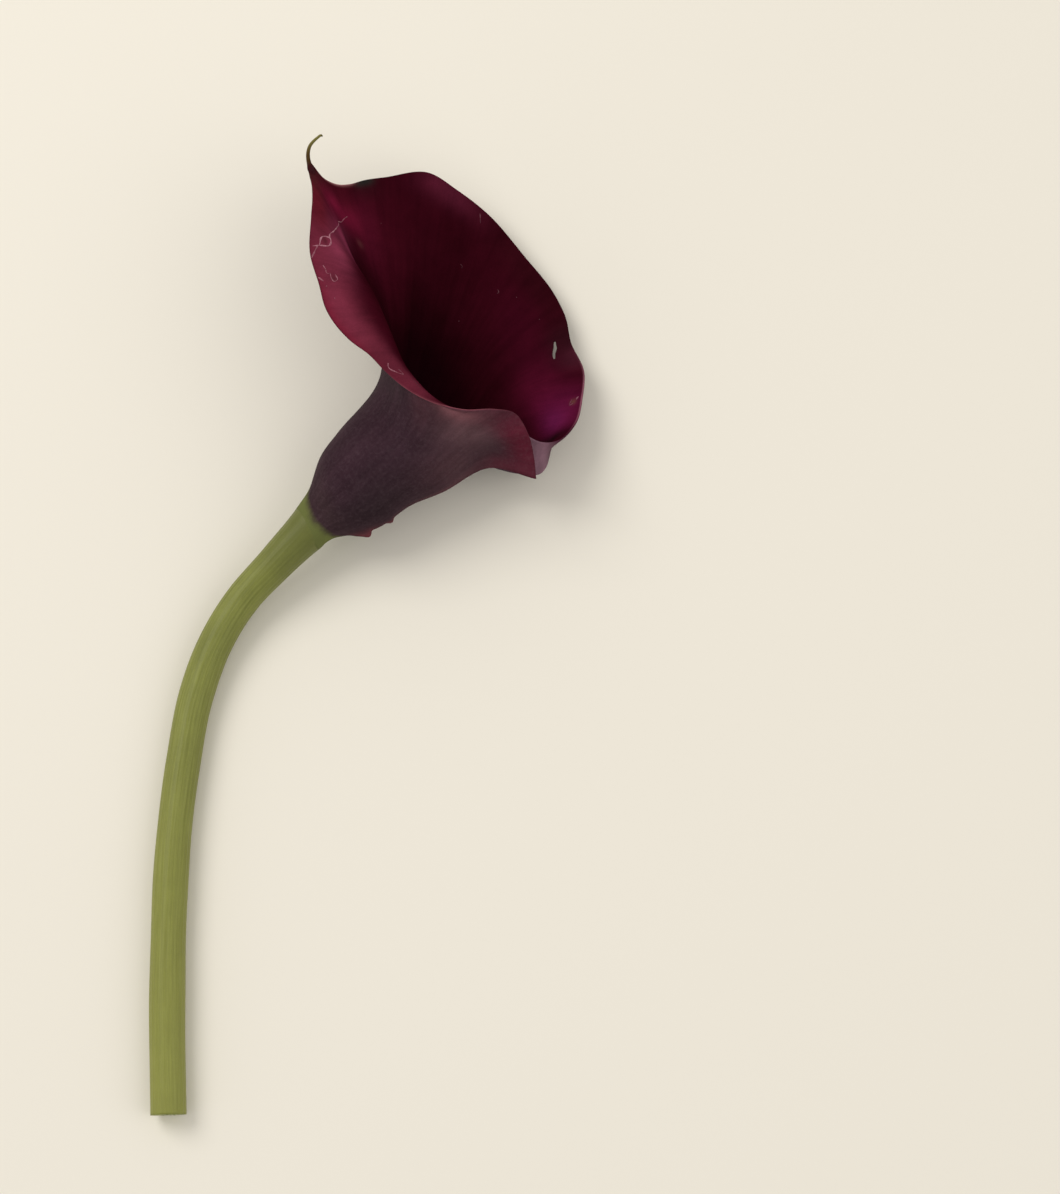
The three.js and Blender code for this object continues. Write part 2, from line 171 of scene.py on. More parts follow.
def between(rise: Place, fall: Place, x: Array) -> Array:
    """Eases from 0 to 1 over the rise and back to 0 over the fall."""
    return smooth_step(*rise, x) * (1.0 - smooth_step(*fall, x))


def mix(a: Array, b: Array, share: Array) -> Array:
    """Blends from a to b by share."""
    return a + (b - a) * share


def hermite(t: Array, start: Array, leaving: Array, end: Array, arriving: Array) -> Array:
    """Points on a cubic between two points.

    Args:
        t: Places from 0 to 1.
        start: The first point.
        leaving: The curve's direction there.
        end: The last point.
        arriving: The curve's direction there.

    Returns:
        One point for each place.
    """
    return (
        (1 + 2 * t) * (1 - t) ** 2 * start
        + t * (1 - t) ** 2 * leaving
        + t * t * (3 - 2 * t) * end
        + t * t * (t - 1) * arriving
    )


def running_length(points: Array) -> Array:
    """Length along a line of points, from 0 at the first."""
    steps = np.linalg.norm(np.diff(points, axis=0), axis=1)
    return np.concatenate([[0.0], np.cumsum(steps)])


def circle(sides: int) -> Array:
    """Angles of a ring's sides."""
    return np.linspace(0.0, TURN, sides, endpoint=False)


def spokes(direction: Array, angle: Array) -> Array:
    """Unit vectors square to a direction, at angles round it.

    Args:
        direction: One unit vector, or one for each ring.
        angle: The angles, with a last axis of one.

    Returns:
        The vectors, rings by sides.
    """
    side = unit(np.cross(direction, UP))
    return np.cos(angle) * side + np.sin(angle) * np.cross(side, direction)


def linear(colour: Sequence[float]) -> Array:
    """Turns an sRGB colour of 0 to 255 into linear light.

    Args:
        colour: Red, green and blue.

    Returns:
        The three linear values.
    """
    value = np.asarray(colour, float) / 255.0
    return np.where(value <= 0.04045, value / 12.92, ((value + 0.055) / 1.055) ** 2.4)


class Curve:
    """A smooth curve through points, with its knots at the running length."""

    def __init__(self, points: Array, knots: Optional[Array] = None) -> None:
        """Takes the points and finds the slopes.

        Args:
            points: One row for each point.
            knots: Places of the points from 0 to 1; the running length if left out.
        """
        self.points = np.asarray(points, float)
        run = running_length(self.points)
        self.length = float(run[-1])
        self.knots = run / self.length if knots is None else knots
        self.slopes = self._slopes()

    def _slopes(self) -> Array:
        """Slopes at the points, from their neighbours.

        Returns:
            One slope for each point.
        """
        gaps = np.diff(self.knots)[:, None]
        rises = np.diff(self.points, axis=0) / gaps
        inner = (gaps[1:] * rises[:-1] + gaps[:-1] * rises[1:]) / (gaps[1:] + gaps[:-1])
        return np.concatenate([rises[:1], inner, rises[-1:]])

    def at(self, x: Array) -> Array:
        """Points on the curve.

        Args:
            x: Places from 0 to 1.

        Returns:
            One point for each place.
        """
        x = np.atleast_1d(np.asarray(x, float))
        i = np.clip(np.searchsorted(self.knots, x, side="right") - 1, 0, len(self.knots) - 2)
        gap = (self.knots[i + 1] - self.knots[i])[:, None]
        t = (x[:, None] - self.knots[i][:, None]) / gap
        leaving, arriving = gap * self.slopes[i], gap * self.slopes[i + 1]
        return hermite(t, self.points[i], leaving, self.points[i + 1], arriving)


class Wobble:
    """Smooth seeded unevenness: a sum of waves in drawn directions."""

    WAVES = 9
    STRETCH = (0.6, 1.5)

    def __init__(self, seed: int, size: float) -> None:
        """Draws the waves.

        Args:
            seed: Seed of the draw.
            size: Usual distance between bumps, in mm.
        """
        draw = np.random.default_rng(seed)
        self.directions = unit(draw.normal(size=(self.WAVES, 3))) * (TURN / size)
        self.directions *= draw.uniform(*self.STRETCH, (self.WAVES, 1))
        self.phases = draw.uniform(0, TURN, self.WAVES)

    def at(self, points: Array) -> Array:
        """Height of the unevenness, mostly between -1 and 1."""
        waves = np.sin(points @ self.directions.T + self.phases)
        return waves.sum(axis=-1) / math.sqrt(self.WAVES)


@dataclass(frozen=True)
class FootFrame:
    """The foot, where stem, spathe and spadix meet, and the line where green turns to purple."""

    origin: Spot = (-12.0, 29.1, 12.6)
    heading: float = 45.75
    rise: float = 6.0
    tilt: float = 0.36
    green_edge: float = 1.6
    green_tilt: float = 0.34
    green_arch: float = 0.75

    @property
    def axis(self) -> Array:
        """Unit vector from the foot to the mouth.

        Returns:
            One unit vector.
        """
        heading, rise = math.radians(self.heading), math.radians(self.rise)
        flat = math.cos(rise)
        return np.array([flat * math.cos(heading), flat * math.sin(heading), math.sin(rise)])

    @property
    def across(self) -> Array:
        """Unit vector towards the free margin."""
        return unit(np.cross(self.axis, UP))

    @property
    def above(self) -> Array:
        """Unit vector away from the surface, square to the other two."""
        return np.cross(self.across, self.axis)

    def place(self, along: Array, sideways: Array, upwards: Array) -> Array:
        """Points given by their distances along the frame's three directions.

        Args:
            along: Distances along the axis.
            sideways: Distances towards the free margin.
            upwards: Distances upwards.

        Returns:
            Points in mm.
        """
        parts = np.broadcast_arrays(along, sideways, upwards)
        along, sideways, upwards = (part[..., None] for part in parts)
        turned = along * self.axis + sideways * self.across + upwards * self.above
        return np.asarray(self.origin) + turned

    def around(self, angle: Array) -> Array:
        """Unit vectors round the axis, from the free margin over the top."""
        return np.cos(angle)[:, None] * self.across + np.sin(angle)[:, None] * self.above

    def angle(self, points: Array) -> Array:
        """Angles of points round the axis, from the free margin over the top."""
        offset = points - np.asarray(self.origin)
        return np.arctan2(offset @ self.above, offset @ self.across)

    def climb(self, points: Array) -> Array:
        """Distances in mm past the arched line where green turns to purple.

        Args:
            points: Points in mm.

        Returns:
            One distance for each point, negative on the green side.
        """
        offset = points - np.asarray(self.origin)
        slanted = offset @ self.axis + self.green_tilt * (offset @ self.across)
        return slanted + self.green_arch * (offset @ self.above) - self.green_edge


FOOT = FootFrame()


# --- meshes -----------------------------------------------------------------------------------


class MeshPiece:
    """A mesh under construction: points in mm, faces, and a row of values for each point."""

    def __init__(self, name: str, columns: Sequence[str]) -> None:
        """Starts an empty mesh.

        Args:
            name: The piece's name.
            columns: Names of the point values that the material reads.
        """
        self.name = name
        self.columns = list(columns)
        self.points: List[Array] = []
        self.values: List[Array] = []
        self.faces: List[Tuple[int, ...]] = []
        self.count = 0

    def add(self, points: Array, values: Array) -> Array:
        """Adds points with their values.

        Args:
            points: Array of points in mm, of any shape.
            values: Matching array, one row of values for each point.

        Returns:
            Index numbers, in the shape of the points.
        """
        flat = points.reshape(-1, 3)
        self.points.append(flat)
        self.values.append(values.reshape(-1, len(self.columns)))
        index = np.arange(len(flat)) + self.count
        self.count += len(flat)
        return index.reshape(points.shape[:-1])

    def quads(self, a: Array, b: Array, c: Array, d: Array) -> None:
        """Adds a face for each set of corners; corners that coincide are dropped.

        Args:
            a: Index numbers of the faces' first corners.
            b: Those of the second.
            c: Those of the third.
            d: Those of the last.
        """
        for corners in zip(a.ravel(), b.ravel(), c.ravel(), d.ravel()):
            face = tuple(dict.fromkeys(int(i) for i in corners))
            if len(face) > 2:
                self.faces.append(face)

    def grid(self, index: Array, wrap: bool = False) -> None:
        """Adds the faces of a grid of points.

        Args:
            index: Index numbers, rows by columns.
            wrap: True if the last column joins the first.
        """
        if wrap:
            index = np.concatenate([index, index[:, :1]], axis=1)
        self.quads(index[:-1, :-1], index[1:, :-1], index[1:, 1:], index[:-1, 1:])

    def cap(self, ring: Array, centre: int) -> None:
        """Closes a ring of points with triangles to a centre."""
        for a, b in zip(ring, np.roll(ring, -1)):
            self.faces.append((int(a), int(b), int(centre)))

    def tube(self, rings: Array, values: Array, ends: Array, end_values: Array) -> None:
        """Adds a closed tube.

        Args:
            rings: Points of the rings, rings by sides.
            values: Their rows of values.
            ends: The middle point of each end.
            end_values: The rows of values of those two.
        """
        index = self.add(rings, values)
        middles = self.add(ends, end_values)
        self.grid(index, wrap=True)
        self.cap(index[0], middles[0])
        self.cap(index[-1][::-1], middles[1])

    def finish(self) -> Piece:
        """Makes the object, with its faces turned outwards.

        Returns:
            The object, linked to the scene.
        """
        mesh = bpy.data.meshes.new(self.name)
        points = np.concatenate(self.points) * MM
        mesh.from_pydata(points.tolist(), [], self.faces)
        mesh.validate()
        body = bmesh.new()
        body.from_mesh(mesh)
        bmesh.ops.recalc_face_normals(body, faces=body.faces)
        if body.calc_volume(signed=True) < 0:
            bmesh.ops.reverse_faces(body, faces=body.faces)
        body.to_mesh(mesh)
        body.free()
        mesh.shade_smooth()
        piece = link(bpy.data.objects.new(self.name, mesh))
        self.write_values(piece)
        log.info("%s: %d points, %d faces", self.name, len(mesh.vertices), len(mesh.polygons))
        return piece

    def write_values(self, piece: Piece) -> None:
        """Gives each point of the object the values of the nearest point of the plan.

        Args:
            piece: The object, also after cuts and joins.
        """
        points = np.concatenate(self.points) * MM
        values = np.concatenate(self.values)
        mesh = piece.data
        if len(mesh.vertices) != len(points):
            tree = kdtree.KDTree(len(points))
            for i, point in enumerate(points):
                tree.insert(point, i)
            tree.balance()
            values = values[[tree.find(vertex.co)[1] for vertex in mesh.vertices]]
        for k, name in enumerate(self.columns):
            layer = mesh.attributes.get(name) or mesh.attributes.new(name, "FLOAT", "POINT")
            layer.data.foreach_set("value", np.ascontiguousarray(values[:, k], dtype=np.float32))


def link(piece: Piece) -> Piece:
    """Puts an object in the scene and returns it."""
    bpy.context.scene.collection.objects.link(piece)
    return piece


def join_solids(piece: Piece, other: Piece, operation: str) -> None:
    """Joins another closed mesh to the piece, or cuts it out, and removes it.

    Args:
        piece: The object that stays.
        other: The object that is used up.
        operation: "UNION" or "DIFFERENCE".
    """
    step = piece.modifiers.new("solids", "BOOLEAN")
    step.object = other
    step.operation = operation
    step.solver = "MANIFOLD"
    apply_modifiers(piece)
    mesh = other.data
    bpy.data.objects.remove(other)
    bpy.data.meshes.remove(mesh)


def apply_modifiers(piece: Piece) -> None:
    """Replaces the object's mesh by the mesh that its modifiers make.

    Args:
        piece: The object.
    """
    bpy.context.view_layer.update()
    evaluated = piece.evaluated_get(bpy.context.evaluated_depsgraph_get())
    mesh = bpy.data.meshes.new_from_object(evaluated)
    old = piece.data
    piece.modifiers.clear()
    piece.data = mesh
    mesh.name = old.name
    bpy.data.meshes.remove(old)


def soften(piece: Piece, centre: Array, reach: float, rounds: int) -> None:
    """Smooths the mesh near a point.

    Args:
        piece: The object.
        centre: The point, in mm.
        reach: Distance in mm at which the smoothing has faded out.
        rounds: How many times the points are moved.
    """
    group = piece.vertex_groups.new(name="soften")
    for vertex in piece.data.vertices:
        distance = (np.array(vertex.co) / MM) - centre
        weight = 1.0 - float(np.linalg.norm(distance)) / reach
        if weight > 0:
            group.add([vertex.index], min(1.0, 2.0 * weight), "REPLACE")
    step = piece.modifiers.new("soften", "SMOOTH")
    step.vertex_group = group.name
    step.factor = 0.5
    step.iterations = rounds
    apply_modifiers(piece)
    piece.vertex_groups.clear()


# --- colour washes ----------------------------------------------------------------------------


@dataclass(frozen=True)
class Wash:
    """A soft patch of colour on the blade, placed by rib and by the way along the rib."""

    colour: Colour
    place: Place
    reach: Place
    strength: float = 1.0
    power: float = 2.0

    def weight(self, ribs: Array, rows: Array) -> Array:
        """How much of the colour each point takes.

        Args:
            ribs: Places round the blade.
            rows: Places along the rib.

        Returns:
            Weights from 0 to 1.
        """
        sideways = np.abs((ribs - self.place[0]) / self.reach[0]) ** self.power
        lengthways = np.abs((rows - self.place[1]) / self.reach[1]) ** self.power
        return self.strength * np.exp(-sideways - lengthways)


EVERYWHERE = 50.0

INNER_WASHES = (
    Wash((50, 7, 18), (0.5, 0.5), (EVERYWHERE, EVERYWHERE)),
    # Darker deep in the throat: partly the blade's own darker colour, partly painted shade of the
    # funnel.
    Wash((24, 3, 7), (0.63, 0.46), (0.24, 0.24), 0.95, 3.0),
    Wash((60, 9, 25), (0.77, 0.87), (0.05, 0.09), 0.8),
    Wash((46, 9, 17), (0.73, 0.98), (0.08, 0.05), 0.8),
    # Lighter rosy band along the far rim: painted sheen highlight.
    Wash((92, 30, 50), (0.61, 0.985), (0.035, 0.035), 0.8),
    Wash((72, 14, 29), (0.538, 0.80), (0.030, 0.20), 0.7),
    Wash((46, 13, 20), (0.515, 0.975), (0.02, 0.04), 0.8),
    Wash((44, 15, 22), (0.81, 0.985), (0.022, 0.07), 0.8, 3.0),
    Wash((86, 16, 42), (0.855, 0.86), (0.040, 0.085), 0.75),
    Wash((96, 20, 56), (0.890, 0.93), (0.028, 0.10), 0.85, 2.6),
    Wash((118, 34, 88), (0.898, 0.90), (0.014, 0.05), 0.45),
    Wash((76, 30, 44), (0.828, 0.995), (0.012, 0.05), 0.7),
    # Lighter rose over the rolled band by the near lip: painted light where the band faces the lamp,
    # with painted sheen highlights.
    Wash((112, 42, 60), (0.30, 0.965), (0.11, 0.08), 0.9, 2.6),
    Wash((106, 40, 56), (0.20, 0.97), (0.05, 0.075), 0.75, 3.0),
    Wash((124, 50, 72), (0.37, 0.885), (0.040, 0.05), 0.8),
    Wash((126, 50, 76), (0.422, 0.81), (0.032, 0.06), 0.95),
    Wash((84, 18, 38), (0.508, 0.83), (0.020, 0.10), 0.8),
    Wash((118, 25, 54), (0.468, 0.885), (0.030, 0.06), 0.9),
    Wash((110, 24, 44), (0.27, 1.0), (0.06, 0.025), 0.7),
    Wash((90, 22, 34), (0.42, 0.98), (0.035, 0.06), 0.85, 3.0),
    Wash((66, 13, 26), (0.485, 0.97), (0.015, 0.08), 0.8, 3.0),
    Wash((104, 70, 56), (0.8795, 0.968), (0.0028, 0.010), 0.7),
    Wash((60, 30, 30), (0.447, 1.0), (0.016, 0.055), 0.9),
    Wash((104, 62, 62), (0.487, 0.795), (0.005, 0.012), 0.35),
    # Thin pale line along the rim: painted highlight on the edge.
    Wash((160, 108, 112), (0.486, 1.0), (0.020, 0.006), 0.8, 3.0),
    Wash((52, 20, 22), (0.3705, 0.938), (0.006, 0.012), 0.6),
    Wash((66, 30, 34), (0.321, 0.934), (0.004, 0.008), 0.6),
    Wash((38, 40, 38), (0.517, 1.0), (0.011, 0.018), 0.9, 3.0),
    # Thin dark line along the rim: painted shade at the edge, partly the edge's own colour.
    Wash((62, 24, 36), (0.27, 1.0), (0.10, 0.007), 0.6, 3.0),
    # Thin pale lines along the rim: painted highlights on the edge.
    Wash((150, 84, 96), (0.14, 1.0), (0.07, 0.006), 0.7, 3.0),
    Wash((150, 96, 112), (0.872, 1.0), (0.036, 0.004), 0.7, 3.0),
    Wash((36, 14, 18), (0.9185, 0.88), (0.0058, 0.10), 0.9, 3.0),
)

OUTER_WASHES = (
    Wash((54, 37, 45), (0.5, 0.5), (EVERYWHERE, EVERYWHERE)),
    Wash((44, 34, 38), (0.09, 0.25), (0.07, 0.22), 0.85),
    Wash((62, 48, 50), (0.18, 0.02), (0.16, 0.07), 0.6),
    Wash((78, 54, 60), (0.05, 0.62), (0.05, 0.14), 0.8),
    Wash((100, 72, 78), (0.085, 0.82), (0.045, 0.10), 0.75),
    Wash((134, 86, 94), (0.130, 0.93), (0.040, 0.07), 0.85),
    Wash((86, 54, 62), (0.175, 0.80), (0.035, 0.09), 0.6),
    Wash((80, 44, 54), (0.5, 1.0), (EVERYWHERE, 0.05), 0.6),
    Wash((90, 30, 46), (0.035, 0.97), (0.045, 0.08), 0.9, 2.5),
    Wash((88, 36, 50), (0.0, 0.88), (0.022, 0.14), 0.85, 2.5),
    # Thin dark line down the free margin: painted shade of the margin's edge.
    Wash((56, 18, 28), (0.0, 0.94), (0.0035, 0.10), 0.8),
    Wash((92, 58, 64), (0.0, 0.50), (0.014, 0.24), 0.7),
    Wash((112, 58, 64), (0.0, 0.13), (0.022, 0.06), 0.9),
    Wash((112, 66, 72), (0.0, 0.25), (0.010, 0.03), 0.9),
    Wash((134, 100, 116), (0.985, 0.90), (0.058, 0.16), 0.95, 4.0),
    Wash((74, 46, 36), (0.445, 1.0), (0.012, 0.06), 0.9),
    Wash((66, 20, 42), (0.920, 0.97), (0.024, 0.060), 0.95, 4.0),
    # Thin dark line along the rim: painted shade at the edge, partly the edge's own colour.
    Wash((62, 24, 36), (0.27, 1.0), (0.10, 0.010), 0.6, 3.0),
)


def paint(washes: Sequence[Wash], ribs: Array, rows: Array) -> Array:
    """Lays washes over each other.

    Args:
        washes: The washes, the lowest first.
        ribs: Places round the blade.
        rows: Places along the rib.

    Returns:
        Linear colours.
    """
    colour = np.zeros(ribs.shape + (3,))
    for wash in washes:
        share = wash.weight(ribs, rows)[..., None]
        colour = mix(colour, linear(wash.colour), share)
    return colour


# --- the spathe -------------------------------------------------------------------------------


@dataclass(frozen=True)
class TubeRing:
    """A ring of the tube: each pair is for the lip's side, then for the back."""

    up: Place
    radius: Place
    shift: float
    even: float
    step: float
    tilt: float


@dataclass(frozen=True)
class Bump:
    """A bump of the free margin: its place along the margin, its reach and its height in mm."""

    place: float
    reach: float
    height: float


@dataclass(frozen=True)
class Dent:
    """A soft hollow pressed into the blade from outside; depth in mm."""

    place: Place
    reach: Place
    depth: float


@dataclass(frozen=True)
class Fairing:
    """How the fold of the throat is rounded: where it eases in and out, and how much it moves."""

    columns_in: Place = (0.0, 0.07)
    columns_out: Place = (0.86, 0.97)
    rows_in: Place = (0.3, 0.55)
    rows_out: Place = (0.93, 0.998)
    rounds: int = 260
    step: float = 0.35
    pull: float = 0.45
    least_gap: float = 1e-6


@dataclass(frozen=True)
class VeinSize:
    """The fine veins: pitch as a share of the rim, height in mm, and where they sway and fade."""

    pitch: float = 0.0065
    height: float = 0.022
    inner_share: float = 0.7
    coarse_share: float = 0.65
    sways: Tuple[Tuple[float, float, float], ...] = ((0.35, 9.0, 40.0), (0.2, 23.0, -17.0))
    split_sway: Place = (0.3, 31.0)
    fade_in: Place = (0.04, 0.2)
    fade_out: Place = (0.965, 0.995)


@dataclass(frozen=True)
class SkirtSize:
    """The foot's thin skirt down over the stem, in mm, and how far its covered part is tucked."""

    length: float = 6.5
    rows: int = 9
    edge: float = 0.07
    lift: float = 0.01
    covered: Place = (0.84, 0.9)
    tuck: float = 0.3
    lean: float = 0.2


@dataclass(frozen=True)
class SpatheSize:
    """Sizes of the spathe, in mm, and how finely it is made."""

    thickness: float = 0.9
    rim_thickness: float = 0.62
    thin_from: float = 0.55
    round_edge: float = 0.05
    wrap_start: float = 4.0
    wrap_turn: float = 408.0
    lip_side: Place = (0.05, 0.36)
    column_spacing: float = 0.75
    columns_per_span: int = 4
    edge_columns: Tuple[float, ...] = (0.00012, 0.0004, 0.0009, 0.0016)
    rows: int = 150
    last_row: float = 0.993
    edge_rows: Tuple[float, ...] = (0.0, 0.0003, 0.0009, 0.0018, 0.003, 0.0045)
    quick_share: int = 3
    unevenness: float = 0.12
    uneven_seed: int = 5
    uneven_size: float = 21.0
    uneven_from: Place = (0.1, 0.4)
    flat_height: float = 3.0
    rings: Tuple[TubeRing, ...] = (
        TubeRing((0.7, 0.7), (6.6, 6.6), -1.03, 0.9, 0.8, 0.36),
        TubeRing((9, 9), (11.35, 11.35), 0.1, 0.7, 0.85, 0.18),
        TubeRing((18, 18), (13.1, 13.1), 0.9, 0.5, 0.9, 0.0),
        TubeRing((26, 36), (14.6, 16.2), 2.4, 0.35, 1.2, 0.0),
    )
    bumps: Tuple[Bump, ...] = (
        Bump(0.125, 0.022, 2.0),
        Bump(0.09, 0.025, 1.1),
        Bump(0.252, 0.013, 1.0),
    )
    bump_reach: float = 0.02
    dents: Tuple[Dent, ...] = (
        Dent((0.932, 0.925), (0.017, 0.045), 1.5),
        Dent((0.966, 0.770), (0.015, 0.055), 1.3),
    )
    fairing: Fairing = Fairing()
    veins: VeinSize = VeinSize()
    skirt: SkirtSize = SkirtSize()


@dataclass(frozen=True)
class TipSize:
    """Sizes of the drawn-out tip, in mm, with its tints from the root to the end."""

    end_radius: float = 0.29
    taper: float = 0.38
    sides: int = 28
    rings: int = 160
    root: float = 0.16
    root_rows: Tuple[float, ...] = (0.962, 0.975, 0.988)
    root_radius: float = 0.12
    root_swell: float = 1.3
    flare: float = 0.30
    flare_reach: float = 0.10
    rounding: Place = (0.965, 1.012)
    end_share: float = 0.02
    ribs: Tuple[Tuple[int, float], ...] = ((5, 0.035), (2, 0.02))
    twist: float = 9.0
    rib: float = 0.46
    root_tint: Colour = (58, 22, 26)
    tints: Tuple[Tuple[Colour, Place], ...] = (
        ((84, 64, 34), (0.05, 0.35)),
        ((122, 116, 64), (0.35, 0.8)),
        ((60, 48, 32), (0.93, 1.0)),
    )
    soft_reach: float = 3.4
    soft_rounds: int = 14


@dataclass(frozen=True)
class TearSize:
    """The short tear through the limb: its place, and its size in mm."""

    place: Place = (0.8116, 0.939)
    length: float = 5.0
    width: float = 0.85
    depth: float = 6.0
    direction: Spot = (0.02, 0.2, -0.98)
    steps: int = 24
    lean: float = 0.2
    bend: float = 0.1
    bend_wave: Place = (5.0, 0.4)
    roundness: float = 2.5
    swell: float = 0.1
    swell_wave: Place = (6.0, 1.0)


class Spathe:
    """The blade, rolled into a tube that opens into the limb, with its tip and tear."""

    COLUMNS = ("rib", "row", "side", "climb", "red", "green", "blue")
    FAR_UP = 99.0
    INNER_SIDE = 0.6

    def __init__(self, size: SpatheSize, tip: TipSize, tear: TearSize, stem: "Stem") -> None:
        """Keeps the sizes and lays out the blade's columns and rows.

        Args:
            size: Sizes of the blade.
            tip: Sizes of the tip.
            tear: Place and size of the tear.
            stem: The stem that the foot clasps.
        """
        self.size = size
        self.tip = tip
        self.tear = tear
        self.stem = stem
        self.rim = Curve(RIBS[:, :3])
        self.throat = Curve(RIBS[:, 3:], self.rim.knots)
        self.columns = self._column_places()
        self.rows = self._row_places()

    def _column_places(self) -> Array:
        """Places of the columns round the blade, closer at the margins.

        Returns:
            Places from 0 to 1.
        """
        size = self.size
        spacing = size.column_spacing * 1
        places = [np.array([0.0])]
        knots = self.rim.knots
        for start, end in zip(knots[:-1], knots[1:]):
            length = (end - start) * self.rim.length
            parts = max(size.columns_per_span, round(length / spacing))
            places.append(np.linspace(start, end, parts + 1)[1:])
        edge = np.array(size.edge_columns)
        return np.unique(np.concatenate([*places, edge, 1.0 - edge]))

    def _row_places(self) -> Array:
        """Places of the rows along a rib, closer at the rim.

        Returns:
            Places from 0 to 1.
        """
        size = self.size
        rows = size.rows // 1
        edge = 1.0 - np.array(size.edge_rows)
        return np.unique(np.concatenate([np.linspace(0.0, size.last_row, rows), edge]))

    def _wrap(self) -> Array:
        """Angles round the axis of columns that stand evenly."""
        return np.radians(self.size.wrap_start + self.columns * self.size.wrap_turn)

    def _tube_point(self, ring: TubeRing, angles: Array) -> Array:
        """Points of all columns on one ring of the tube.

        Args:
            ring: The ring.
            angles: Angles of the columns' throat points.

        Returns:
            Points in mm.
        """
        back = smooth_step(*self.size.lip_side, self.columns)
        angle = mix(angles, self._wrap(), ring.even)
        radius = mix(*ring.radius, back) + ring.step * (1 - 2 * self.columns)
        sideways = radius * np.cos(angle)
        up = mix(*ring.up, back) - ring.tilt * sideways
        return FOOT.place(up, ring.shift + sideways, radius * np.sin(angle))

    def _middle(self) -> Array:
        """Middle surface of the blade.

        Returns:
            Points in mm, columns by rows.
        """
        throat = self.throat.at(self.columns)
        angles = np.unwrap(FOOT.angle(throat))
        stations = [self._tube_point(ring, angles) for ring in self.size.rings]
        stations += [throat, self.rim.at(self.columns)]
        ribs = np.stack(stations, axis=1)
        grid = self._fair(np.stack([Curve(rib).at(self.rows) for rib in ribs]))
        return grid + self._margin_bumps()[..., None] * FOOT.across

    def _fair(self, grid: Array) -> Array:
        """Rounds the fold of the throat; the rim, the margins and the tube stay where they are.

        Args:
            grid: Points, columns by rows.

        Returns:
            The moved points.
        """
        fairing = self.size.fairing
        weight = between(fairing.columns_in, fairing.columns_out, self.columns)[:, None]
        weight = weight * between(fairing.rows_in, fairing.rows_out, self.rows)
        weight = weight[1:-1, 1:-1, None]
        grid = grid.copy()
        for _ in range(fairing.rounds):
            core = grid[1:-1, 1:-1]
            sides = (grid[:-2, 1:-1], grid[2:, 1:-1]), (grid[1:-1, :-2], grid[1:-1, 2:])
            pull = 0.0
            for near, far in sides:
                gap = np.linalg.norm(core - near, axis=2, keepdims=True) + fairing.least_gap
                gap_far = np.linalg.norm(core - far, axis=2, keepdims=True) + fairing.least_gap
                middle = (near * gap_far + far * gap) / (gap + gap_far)
                share = np.minimum(1.0, fairing.step / (gap * gap_far))
                pull = pull + share * (middle - core)
            grid[1:-1, 1:-1] = core + fairing.pull * weight * pull
        return grid

    def _margin_bumps(self) -> Array:
        """How far the free margin stands out.

        Returns:
            Distances in mm, columns by rows.
        """
        height = sum(
            bump.height * np.exp(-(((self.rows - bump.place) / bump.reach) ** 2))
            for bump in self.size.bumps
        )
        return np.exp(-self.columns / self.size.bump_reach)[:, None] * height[None, :]

    @staticmethod
    def _normals(grid: Array) -> Array:
        """Unit normals of a grid, pointing out of the funnel."""
        return unit(np.cross(np.gradient(grid, axis=1), np.gradient(grid, axis=0)))

    @staticmethod
    def _edge_distance(grid: Array) -> Array:
        """Distance in mm to the nearest of the rim and the two margins.

        Args:
            grid: Points, columns by rows.

        Returns:
            One distance for each point.
        """
        across = np.linalg.norm(np.diff(grid, axis=0), axis=2)
        left = np.concatenate([np.zeros((1, grid.shape[1])), np.cumsum(across, axis=0)])
        along = np.linalg.norm(np.diff(grid, axis=1), axis=2)
        up = np.concatenate([np.zeros((grid.shape[0], 1)), np.cumsum(along, axis=1)], axis=1)
        return np.minimum(np.minimum(left, left[-1:] - left), up[:, -1:] - up)

    def _veins(self, face: Face) -> Array:
        """Height of the fine veins on one face.

        Args:
            face: The face.

        Returns:
            Heights in mm, columns by rows.
        """
        veins = self.size.veins
        ribs, rows = np.meshgrid(self.columns, self.rows, indexing="ij")
        phase = ribs / veins.pitch
        for height, lengthways, sideways in veins.sways:
            phase = phase + height * np.sin(lengthways * rows + sideways * ribs)
        split = veins.split_sway[0] * np.sin(veins.split_sway[1] * ribs)
        coarse = 0.5 + 0.5 * np.cos(TURN * phase)
        fine = 0.5 + 0.5 * np.cos(TURN * (2.0 * phase + split))
        wave = mix(fine, coarse, veins.coarse_share) - 0.5
        share = 1.0 if face is Face.OUTER else veins.inner_share
        return veins.height * share * between(veins.fade_in, veins.fade_out, rows) * wave

    def _unevenness(self, middle: Array) -> Array:
        """How far the blade bulges or is dented; nothing where it rests.

        Args:
            middle: Points of the middle surface.

        Returns:
            Distances outwards in mm, columns by rows.
        """
        size = self.size
        bulge = size.unevenness * Wobble(size.uneven_seed, size.uneven_size).at(middle)
        bulge = bulge * smooth_step(*size.uneven_from, self.rows)
        bulge = bulge * smooth_step(0.0, size.flat_height, middle[..., 2])
        for dent in size.dents:
            far_round = (self.columns[:, None] - dent.place[0]) / dent.reach[0]
            far_up = (self.rows - dent.place[1]) / dent.reach[1]
            bulge = bulge - dent.depth * np.exp(-(far_round**2) - far_up**2)
        return bulge

